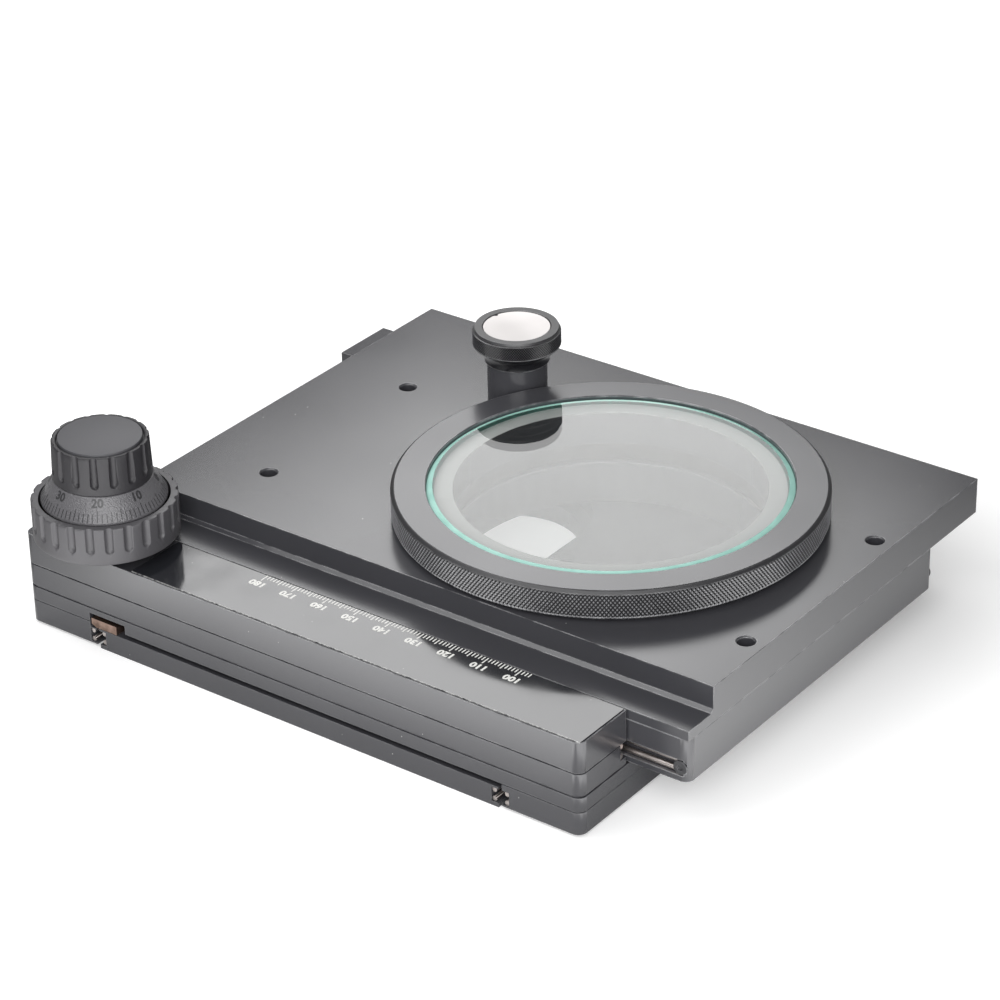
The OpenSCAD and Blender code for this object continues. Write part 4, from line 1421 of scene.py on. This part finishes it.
def knurled_body(
    name: str,
    axis: Axis,
    knurl: Knurl,
    band: Spot,
    before: Sequence[Spot],
    after: Sequence[Spot],
    finish: Finish,
) -> Piece:
    """Builds a turned body with a knurled band.

    Args:
        name: the piece's name.
        axis: the axis.
        knurl: the knurl, on the axis's radius.
        band: the band's lower and upper height in metres.
        before: radius and height points that lead to the band's foot.
        after: radius and height points that lead from the band's top.
        finish: the finish.

    Returns:
        The new object.
    """
    columns = 2 * knurl.diamonds
    radii, heights = knurl.band(axis.radius, *band)
    first, last = len(before), len(before) + len(heights)
    lead_in, lead_out = ([np.full(columns, r) for r, _ in part] for part in (before, after))
    rows = lead_in + list(radii) + lead_out
    levels = [z for _, z in before] + list(heights) + [z for _, z in after]
    grid = turned_grid(axis, np.array(rows), np.array(levels))
    faces: list[tuple[int, ...]] = []
    for at, face in enumerate(quad_faces(len(levels), columns, True)):
        row, column = divmod(at, columns)
        if first <= row < last - 1:
            a, b, c, d = face
            odd = (column + row - first) % 2 == 1
            faces += [(a, b, c), (a, c, d)] if odd else [(a, b, d), (b, c, d)]
        else:
            faces.append(face)
    piece = finish_mesh(name, grid.reshape(-1, 3), faces, finish, Shading.FLAT)
    # The peak height sets the knurl's painted highlight on the peaks and painted shade in the
    # grooves.
    peak = piece.data.attributes.new(PEAK, "FLOAT", "POINT")
    for point, mark in zip(piece.data.vertices, peak.data):
        out = math.hypot(point.co.x - axis.x, point.co.y - axis.y)
        mark.value = min(max(1 - (axis.radius - out) / knurl.depth, 0.0), 1.0)
    return piece


def paint(
    piece: Piece, axis: Axis, finish: Finish, holds: Callable[[float, float], bool]
) -> None:
    """Gives some faces of a turned piece a finish of their own.

    Args:
        piece: the turned piece.
        axis: its axis.
        finish: the faces' finish.
        holds: says of a face's radius and height in metres whether the face gets the finish.
    """
    piece.data.materials.append(finish.material())
    last = len(piece.data.materials) - 1
    for face in piece.data.polygons:
        out = math.hypot(face.center.x - axis.x, face.center.y - axis.y)
        if holds(out, face.center.z):
            face.material_index = last


def paint_band(
    piece: Piece, axis: Axis, heights: Spot, radii: Spot, finish: Finish
) -> None:
    """Gives a band round a turned piece a finish of its own.

    Args:
        piece: the turned piece.
        axis: its axis.
        heights: the band's lower and upper height in metres.
        radii: its inner and outer radius in metres.
        finish: the band's finish.
    """
    paint(
        piece,
        axis,
        finish,
        lambda out, height: heights[0] < height < heights[1] and radii[0] < out < radii[1],
    )


@dataclass
class RotatingRing:
    """The knurled ring with its glass plate, bearing and gear.

    Attributes:
        diamonds: knurl diamonds round the ring.
        depth: depth of the knurl.
        top_chamfer: chamfer above the knurl.
        foot: plain edge below the knurl.
        height: height of the ring over its foot.
        soft: rounding of the rims.
        knurl_in: how far the plain edges below and above the knurl lie inside its peaks.
        knurl_off: distance from these edges to the knurl.
        seat_bevel: slope at the top of the seat.
        seat_radius: radius of the glass seat.
        opening: radius of the clear opening.
        hub: radius of the hub that runs in the bearing.
        glass_chamfer: width of the glass's ground chamfer.
        glass_drop: height of that chamfer.
        glass_foot: width of the ground band under the glass.
        glass_soft: ground slope at the glass's lower edge.
    """

    diamonds: int = 340
    depth: float = 0.4 * MM
    top_chamfer: float = 0.9 * MM
    foot: float = 0.6 * MM
    height: float = 8 * MM
    soft: float = 0.15 * MM
    knurl_in: Spot = (0.1 * MM, 0.05 * MM)
    knurl_off: Spot = (0.2 * MM, 0.15 * MM)
    seat_bevel: float = 0.25 * MM
    seat_radius: float = 47.6 * MM
    opening: float = 40.7 * MM
    hub: float = 50 * MM
    glass_chamfer: float = 1.6 * MM
    glass_drop: float = 0.8 * MM
    glass_foot: float = 2.0 * MM
    glass_soft: float = 0.3 * MM

    def build_ring(self) -> None:
        """Builds the knurled ring."""
        axis = Axis.of("knurled_ring")
        ring_foot = axis.high - self.height
        ledge = Axis.of("glass_plate").low
        soft = self.soft
        before = [
            (self.seat_radius, axis.high - self.seat_bevel),
            (self.seat_radius, ledge),
            (self.opening, ledge),
            (self.opening, axis.low),
            (self.hub, axis.low),
            (self.hub, ring_foot),
            (axis.radius - self.foot, ring_foot),
            (axis.radius - self.knurl_in[0], ring_foot + self.foot),
        ]
        after = [
            (axis.radius - self.knurl_in[1], axis.high - self.top_chamfer),
            (axis.radius - self.top_chamfer + soft, axis.high - soft),
            (axis.radius - self.top_chamfer - soft, axis.high),
            (self.seat_radius + self.seat_bevel, axis.high),
        ]
        foot, top = ring_foot + self.foot, axis.high - self.top_chamfer
        band = (foot + self.knurl_off[0], top - self.knurl_off[1])
        knurl = Knurl(self.diamonds, self.depth)
        piece = knurled_body("ring_with_knurl", axis, knurl, band, before, after, TURNED_BLACK)
        paint_band(piece, axis, band, (axis.radius - 2 * self.depth, axis.radius), KNURLED_BLACK)
        # Painted shade: the rim band above the knurl is painted darker than the ring's face.
        rim = (band[1], axis.high - 0.1 * soft)
        paint_band(piece, axis, rim, (axis.radius - 2 * self.top_chamfer, axis.radius), TURNED_DARK)
        # Painted reflection: the ledge under the glass takes the pale seat finish.
        near = 0.02 * MM
        level = (ledge - near, ledge + near)
        paint_band(piece, axis, level, (self.opening, self.seat_radius), SEAT_PAINTED_SHEEN)
        seat(piece, Body.ROTOR, TURNED_BLACK, "knurled_ring")

    def build_glass(self) -> None:
        """Builds the glass plate with its ground edge."""
        axis = Axis.of("glass_plate")
        foot, bevel = axis.radius - self.glass_foot, axis.radius - self.glass_chamfer
        outline = [
            (0, axis.low),
            (foot, axis.low),
            (axis.radius - self.glass_soft, axis.low),
            (axis.radius, axis.low + self.glass_soft),
            (axis.radius, axis.high - self.glass_drop),
            (bevel, axis.high),
            (0, axis.high),
        ]
        under = axis.low + 0.1 * MM
        piece = revolve("glass_disc", axis, outline, GLASS, 256, False, Shading.GROUND)
        paint(
            piece,
            axis,
            GLASS_EDGE,
            lambda out, height: (height < under and out > foot) or out > bevel,
        )
        seat(piece, Body.ROTOR, GLASS, "glass_plate")

    def build(self) -> None:
        """Builds the ring and the glass, and finishes what carries them."""
        self.build_ring()
        self.build_glass()
        dress(BRONZE, 0.0, "ring_bearing")
        dress(BLACKENED, 0.0, "gear_ring")
        dress(STEEL, 0.0, "gear_ring_screws")


@dataclass
class RotationKnob:
    """The knurled head on its column, with a silver disc.

    Attributes:
        diamonds: knurl diamonds round the head.
        depth: depth of the knurl.
        band: height of the knurled band and its rims.
        rim: height of the plain rim above the knurl.
        chamfer: chamfer of the head's rims.
        foot: radius of the head's foot.
        flare_rows: rows of points on the flare from the foot to the rim.
        flare_bend: how late the flare opens, where 1 is a plain cone.
        flare_high: how far up towards the shoulder the flare ends.
        knurl_in: how far the two edges below the knurl lie inside its peaks.
        knurl_rise: the heights of these edges over the shoulder.
        knurl_low: height of the knurl's foot over the shoulder.
        neck: depth of the plain rim inside the knurl's peaks.
        neck_low: height of the neck's foot over the knurl's top.
        lip: the rounding between the rim's side and its top, in and down.
        seat_bevel: slope at the top of the disc's seat.
        disc_gap: gap round the disc.
        notch: radius of the notch in the disc's edge.
        notch_turn: the notch's angle in degrees.
        disc_soft: rounding of the disc's edge.
        disc_sides: points round the disc.
    """

    diamonds: int = 115
    depth: float = 0.22 * MM
    band: float = 5.2 * MM
    rim: float = 1.1 * MM
    chamfer: float = 0.5 * MM
    foot: float = 8.9 * MM
    flare_rows: int = 8
    flare_bend: float = 2.1
    flare_high: float = 0.96
    knurl_in: Spot = (0.12 * MM, 0.05 * MM)
    knurl_rise: Spot = (0.15 * MM, 0.3 * MM)
    knurl_low: float = 0.45 * MM
    neck: float = 0.4 * MM
    neck_low: float = 0.1 * MM
    lip: Spot = (0.1 * MM, 0.1 * MM)
    seat_bevel: float = 0.15 * MM
    disc_gap: float = 0.12 * MM
    notch: float = 0.6 * MM
    notch_turn: float = 165.0
    disc_soft: float = 0.08 * MM
    disc_sides: int = 240

    def build_head(self) -> None:
        """Builds the head."""
        axis = Axis.of("rotation_head")
        disc = Axis.of("rotation_cap")
        bore = Axis.of("rotation_shaft").radius
        shoulder = axis.high - self.band
        rise = shoulder - axis.low
        inner = disc.radius + self.disc_gap
        flare = axis.radius - self.chamfer
        before = [
            (inner, axis.high - self.seat_bevel),
            (inner, disc.low),
            (bore, disc.low),
            (bore, axis.low),
            (self.foot, axis.low),
        ]
        for share in np.linspace(0.1, 1, self.flare_rows):
            out = self.foot + (flare - self.foot) * share**self.flare_bend
            before.append((out, axis.low + rise * share * self.flare_high))
        for inset, height in zip(self.knurl_in, self.knurl_rise):
            before.append((axis.radius - inset, shoulder + height))
        neck = axis.radius - self.neck
        after = [
            (neck, axis.high - self.rim + self.neck_low),
            (neck, axis.high - self.chamfer),
            (flare - self.lip[0], axis.high - self.lip[1]),
            (flare - self.seat_bevel, axis.high),
            (inner + self.seat_bevel, axis.high),
        ]
        band = (shoulder + self.knurl_low, axis.high - self.rim)
        knurl = Knurl(self.diamonds, self.depth)
        name = "rotation_head_knurled"
        piece = knurled_body(name, axis, knurl, band, before, after, TURNED_DARK)
        paint(piece, axis, POLISHED_BLACK, lambda out, height: height < shoulder)
        paint_band(piece, axis, band, (axis.radius - 2 * self.depth, axis.radius), KNURLED_OILY)
        seat(piece, Body.ROTATION_KNOB, TURNED_BLACK, "rotation_head")

    def build_disc(self) -> None:
        """Builds the silver disc with a small notch in its edge."""
        axis = Axis.of("rotation_cap")
        sides = self.disc_sides
        notch = math.radians(self.notch_turn)
        soft = self.disc_soft
        rows, levels = [], []
        for inset, height in (
            (axis.radius, axis.low),
            (0.0, axis.low),
            (0.0, axis.high - soft),
            (soft, axis.high),
            (axis.radius, axis.high),
        ):
            angle = TURN * np.arange(sides) / sides
            off = np.abs((angle - notch + math.pi) % TURN - math.pi) * axis.radius
            bite = np.sqrt(np.maximum(self.notch**2 - off**2, 0.0))
            radius = np.full(sides, axis.radius - inset)
            if inset < axis.radius:
                radius = radius - bite
            rows.append(radius)
            levels.append(height)
        grid = turned_grid(axis, np.array(rows), np.array(levels))
        faces = quad_faces(len(levels), sides, False)
        piece = finish_mesh("silver_disc", grid.reshape(-1, 3), faces, SILVER, Shading.TURNED)
        seat(piece, Body.ROTATION_KNOB, SILVER, "rotation_cap")

    def build(self) -> None:
        """Builds the head and the disc, and finishes the column."""
        self.build_head()
        self.build_disc()
        dress(TURNED_BLACK, 0.0, "knob_post")
        dress(STEEL, 0.0, "rotation_shaft", "rotation_screw")
        dress(BRASS, 0.0, "rotation_pinion")


def dress(finish: Finish, broken_mm: float, *nodes: str) -> None:
    """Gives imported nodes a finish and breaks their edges.

    Args:
        finish: the finish.
        broken_mm: the width of the broken edges, or 0 for edges that stay as they are.
        *nodes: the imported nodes.
    """
    for name in nodes:
        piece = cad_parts[name]
        piece.data.materials.clear()
        piece.data.materials.append(finish.material())
        weld = piece.modifiers.new("joined points", "WELD")
        weld.merge_threshold = SAME_CAD_POINT
        if broken_mm > 0:
            flat = piece.modifiers.new("whole faces", "DECIMATE")
            flat.decimate_type = "DISSOLVE"
            flat.angle_limit = FLAT_WITHIN
            bevel = piece.modifiers.new("broken edges", "BEVEL")
            bevel.width = broken_mm * MM
            bevel.segments = 2
            bevel.limit_method = "ANGLE"
            bevel.angle_limit = EDGE_OVER
            bevel.harden_normals = True
            bevel.use_clamp_overlap = True
        LOG.info("finished %s in %s", name, finish.name)


@dataclass
class BaseAndFrame:
    """The fixed base and the frame that moves along Y.

    Attributes:
        broken: width of the broken edges in millimetres.
        front_broken: their width on the front bar and its cover.
        rack_broken: their width on the Y rack.
    """

    broken: float = 0.25
    front_broken: float = 0.35
    rack_broken: float = 0.15

    def build(self) -> None:
        """Finishes the plates, bars, racks, wires and screws."""
        dress(SHELTERED, self.broken, "base_plate", "side_bars", "centre_plate", "back_bar")
        dress(SHELTERED, self.front_broken, "front_bar")
        dress(BLASTED, self.front_broken, "front_cover")
        dress(FILM, 0.0, "scale_plate")
        dress(TARNISHED, self.rack_broken, "y_rack")
        dress(WIRE, 0.0, "base_race_wires", "bar_race_wires", "side_race_wires")
        dress(STEEL, 0.0, "rack_screws", "bar_screws", "side_bar_screws", "idler_pins")
        dress(STEEL, 0.0, "y_cage_balls", "x_cage_balls")
        dress(CAGE, 0.0, "x_cage_strips", "y_cage_strips")
        dress(BRASS, 0.0, "idler_gear_a", "idler_gear_b", "x_pinion", "y_pinion")
        dress(STEEL, 0.0, "x_sleeve", "y_shaft", "knob_screw")


@dataclass
class SlidingPlates:
    """The sliding plate and the top plate on it.

    Attributes:
        broken: width of the broken edges in millimetres.
        screw_broken: their width on the race end screws.
    """

    broken: float = 0.3
    screw_broken: float = 0.1

    def build(self) -> None:
        """Finishes the plates and what they carry."""
        dress(BLASTED, self.broken, "top_plate", "slide_plate")
        dress(BRASS, 0.0, "x_rack")
        dress(WIRE, 0.0, "slide_race_wires")
        dress(BLACK_OXIDE, self.screw_broken, "race_end_screws")
        dress(STEEL, 0.0, "plate_screws")


@dataclass(frozen=True)
class Softbox:
    """A rectangular softbox.

    Attributes:
        name: the lamp's name.
        place: the middle of the lamp in metres.
        aim: the point that it faces in metres.
        size: the width and height in metres.
        light: the brightness of its face, where 1 is white.
    """

    name: str
    place: tuple[float, float, float]
    aim: tuple[float, float, float]
    size: Spot
    light: float

    def hang(self) -> None:
        """Hangs the softbox."""
        lamp = bpy.data.lights.new(self.name, "AREA")
        lamp.shape = "RECTANGLE"
        lamp.size, lamp.size_y = self.size
        lamp.energy = self.light * math.pi * self.size[0] * self.size[1]
        holder = bpy.data.objects.new(self.name, lamp)
        holder.location = self.place
        out = (Vector(self.place) - Vector(self.aim)).normalized()
        holder.rotation_euler = out.to_track_quat("Z", "Y").to_euler()
        bpy.context.scene.collection.objects.link(holder)


# Its mirrored edges give the plates their fall-off of light
OVERHEAD = Softbox(
    "overhead panel", (-0.224, 0.2365, 0.29), (-0.224, 0.2365, 0), (0.276, 0.433), 2.95
)
FRONT = Softbox("front softbox", (0.4, -0.52, 0.36), (0, 0, 0.02), (0.7, 0.6), 3.6)
TOP = Softbox("top softbox", (-0.16, -0.3, 0.54), (-0.03, -0.04, 0.03), (0.42, 0.4), 2.2)


@dataclass
class Studio:
    """A pale floor, soft lamps and the camera of the photograph.

    Attributes:
        azimuth: the camera's turn round the stage in degrees.
        elevation: its height above the horizon in degrees.
        roll: its tilt in degrees.
        distance: its distance from the target.
        target: the point that it looks at.
        lens: focal length in millimetres on the sensor's width.
        sensor: the sensor's width in millimetres.
        clip: the nearest and farthest distance that the camera sees, in metres.
        lamps: the softboxes.
        world: the strength of the even light all round.
        floor: the floor's colour.
        floor_half: half the floor's side in metres.
        floor_dim: painted shade, the darker floor colour that only mirrors see behind the stage and
            beside it.
        seen_white: the floor's own white for the camera, at the stage and away from it; the lower
            white at the stage paints a soft shade round it.
        seen_far: how far from the stage the camera sees all of it, in metres.
        seen_front: the white that the camera sees more in front of the stage.
        side_white: painted light that only mirrors see on the floor beside the stage.
        mirror_white: painted light that only mirrors see on the floor in front of the stage.
        white_y: where along Y mirrors see no white and all of it, in metres.
        white_x: where along X mirrors see no white and all of it, in metres.
        corner_fade: where the front white fades before the right end, as a share of contact.
        contact: how far from the stage its contact shadow reaches in metres.
        hole_white: the floor's own white seen through the glass and the base's hole.
    """

    azimuth: float = 37.0168
    elevation: float = 28.9434
    roll: float = -1.1008
    distance: float = 983.7 * MM
    target: tuple[float, float, float] = (-26.4 * MM, 46.8 * MM, 0.0)
    lens: float = 126.53
    sensor: float = 36.0
    clip: Spot = (0.05, 50)
    lamps: tuple[Softbox, ...] = (OVERHEAD, FRONT, TOP)
    world: float = 0.2
    floor: str = "#f2f2f2"
    floor_half: float = 6.0
    seen_white: Spot = (0.06, 0.5)
    seen_far: float = 0.1
    seen_front: float = 0.3
    side_white: float = 2.2
    mirror_white: float = 2.2
    white_y: Spot = (0.14, -0.1)
    white_x: Spot = (-0.13, -0.08)
    corner_fade: float = 0.65
    contact: float = 0.036
    floor_dim: str = "#b2b2b2"
    hole_white: float = 0.25

    def directions(self) -> tuple[Vector, Vector, Vector]:
        """Gives the camera's directions.

        Returns:
            The right, up and back directions.
        """
        a, e, r = (math.radians(v) for v in (self.azimuth, self.elevation, self.roll))
        back = Vector((math.sin(a) * math.cos(e), -math.cos(a) * math.cos(e), math.sin(e)))
        right = Vector((math.cos(a), math.sin(a), 0))
        up = Vector((-math.sin(e) * math.sin(a), math.sin(e) * math.cos(a), math.cos(e)))
        turned_right = math.cos(r) * right + math.sin(r) * up
        turned_up = -math.sin(r) * right + math.cos(r) * up
        return turned_right, turned_up, back

    def build_camera(self) -> None:
        """Places the camera."""
        right, up, back = self.directions()
        lens = bpy.data.cameras.new("camera")
        lens.lens = self.lens
        lens.sensor_width = self.sensor
        lens.clip_start, lens.clip_end = self.clip
        camera = bpy.data.objects.new("camera", lens)
        place = Vector(self.target) + back * self.distance
        turn = Matrix((right, up, back)).transposed()
        camera.matrix_world = Matrix.Translation(place) @ turn.to_4x4()
        bpy.context.scene.collection.objects.link(camera)
        bpy.context.scene.camera = camera

    def floor_surface(self, tree: Tree) -> Node:
        """Makes the floor, whose own white rises towards the front and away from the stage.

        Args:
            tree: the floor's node tree.

        Returns:
            The node of the floor's surface.
        """
        low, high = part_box("side_bars")
        ray = add(tree, "LightPath").outputs
        place = add(tree, "SeparateXYZ", {0: add(tree, "TexCoord").outputs["Object"]}).outputs
        beside = []
        for at in (0, 1):
            out = add(tree, "Math", (place[at],), operation="ABSOLUTE")
            beside.append(joined(tree, "SUBTRACT", out, (high[at] - low[at]) / 2))
        off = joined(tree, "MAXIMUM", *beside)
        front = add(tree, "MapRange", (place[1], *self.white_y))
        right = add(tree, "MapRange", (place[0], *self.white_x))
        lit = joined(tree, "MULTIPLY", front, right)
        face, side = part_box("front_bar")[0].y, high.x
        # Painted light that only mirrors see on the floor in front of the stage and at its right,
        # fading to a painted contact shadow at the stage.
        ahead = add(tree, "MapRange", (place[1], face, face - self.contact))
        fade = add(tree, "MapRange", (place[0], side, side - self.corner_fade * self.contact))
        ahead = joined(tree, "MULTIPLY", ahead, ahead, self.mirror_white, right, fade)
        aside = add(tree, "MapRange", (place[0], side, side + self.contact))
        aside = joined(tree, "MULTIPLY", aside, aside, self.side_white, front)
        mirrored = joined(tree, "ADD", ahead, aside)
        # The camera's floor white is lower at the stage, which paints a soft shade round it.
        seen = add(tree, "MapRange", (off, 0.0, self.seen_far, *self.seen_white))
        nearer = joined(tree, "MULTIPLY", front, self.seen_front)
        seen = joined(tree, "ADD", seen, nearer)
        white = joined(tree, "MULTIPLY", ray["Is Transmission Ray"], self.hole_white)
        for share, kind in ((seen, "Is Camera Ray"), (mirrored, "Is Glossy Ray")):
            white = joined(tree, "ADD", white, joined(tree, "MULTIPLY", share, ray[kind]))
        # Painted shade: mirrors see the darker floor colour where that painted light does not
        # reach.
        unlit = add(tree, "MapRange", (lit, 1.0, 0.0))
        dim = joined(tree, "MULTIPLY", unlit, ray["Is Glossy Ray"])
        paper = layered(tree, self.floor, (dim, self.floor_dim))
        matt = add(tree, "BsdfDiffuse", {"Color": paper})
        glow = add(tree, "Emission", {"Strength": white})
        return add(tree, "AddShader", (matt, glow))

    def build_floor(self) -> None:
        """Lays the floor, with a white of its own for the camera, mirrors and glass."""
        half = self.floor_half
        corners = [(-half, -half, 0), (half, -half, 0), (half, half, 0), (-half, half, 0)]
        mesh = bpy.data.meshes.new("floor")
        mesh.from_pydata(corners, [], [(0, 1, 2, 3)])
        floor = bpy.data.objects.new("floor", mesh)
        bpy.context.scene.collection.objects.link(floor)
        paper = bpy.data.materials.new("white paper floor")
        paper.use_nodes = True
        tree = paper.node_tree
        tree.nodes.clear()
        add(tree, "OutputMaterial", {"Surface": self.floor_surface(tree)})
        mesh.materials.append(paper)

    def build_world(self) -> None:
        """Sets the even light, and white behind the stage for the camera."""
        world = bpy.data.worlds.new("studio")
        bpy.context.scene.world = world
        world.use_nodes = True
        tree = world.node_tree
        tree.nodes.clear()
        even = add(tree, "Background", {"Color": linear("#ffffff"), "Strength": self.world})
        white = add(tree, "Background", {"Color": linear("#ffffff"), "Strength": 1.0})
        ray = add(tree, "LightPath").outputs["Is Camera Ray"]
        mixed = add(tree, "MixShader", (ray, even, white))
        add(tree, "OutputWorld", {"Surface": mixed})

    def build(self) -> None:
        """Builds the camera, floor, world and lamps."""
        self.build_camera()
        self.build_floor()
        self.build_world()
        for lamp in self.lamps:
            lamp.hang()
        bpy.context.scene.view_settings.view_transform = "Standard"
        LOG.info("built the studio")


def main() -> None:
    """Builds the whole dressed stage in order."""
    logging.basicConfig(level=logging.INFO, format="%(name)s: %(message)s")
    parts: list[object] = [
        Studio(),
        BaseAndFrame(),
        ScalePrint(),
        SlidingPlates(),
        RotatingRing(),
        RotationKnob(),
        CoaxialKnobs(),
    ]
    for part in parts:
        part.build()
        LOG.info("done: %s", type(part).__name__)


if __name__ == "__main__":
    main()
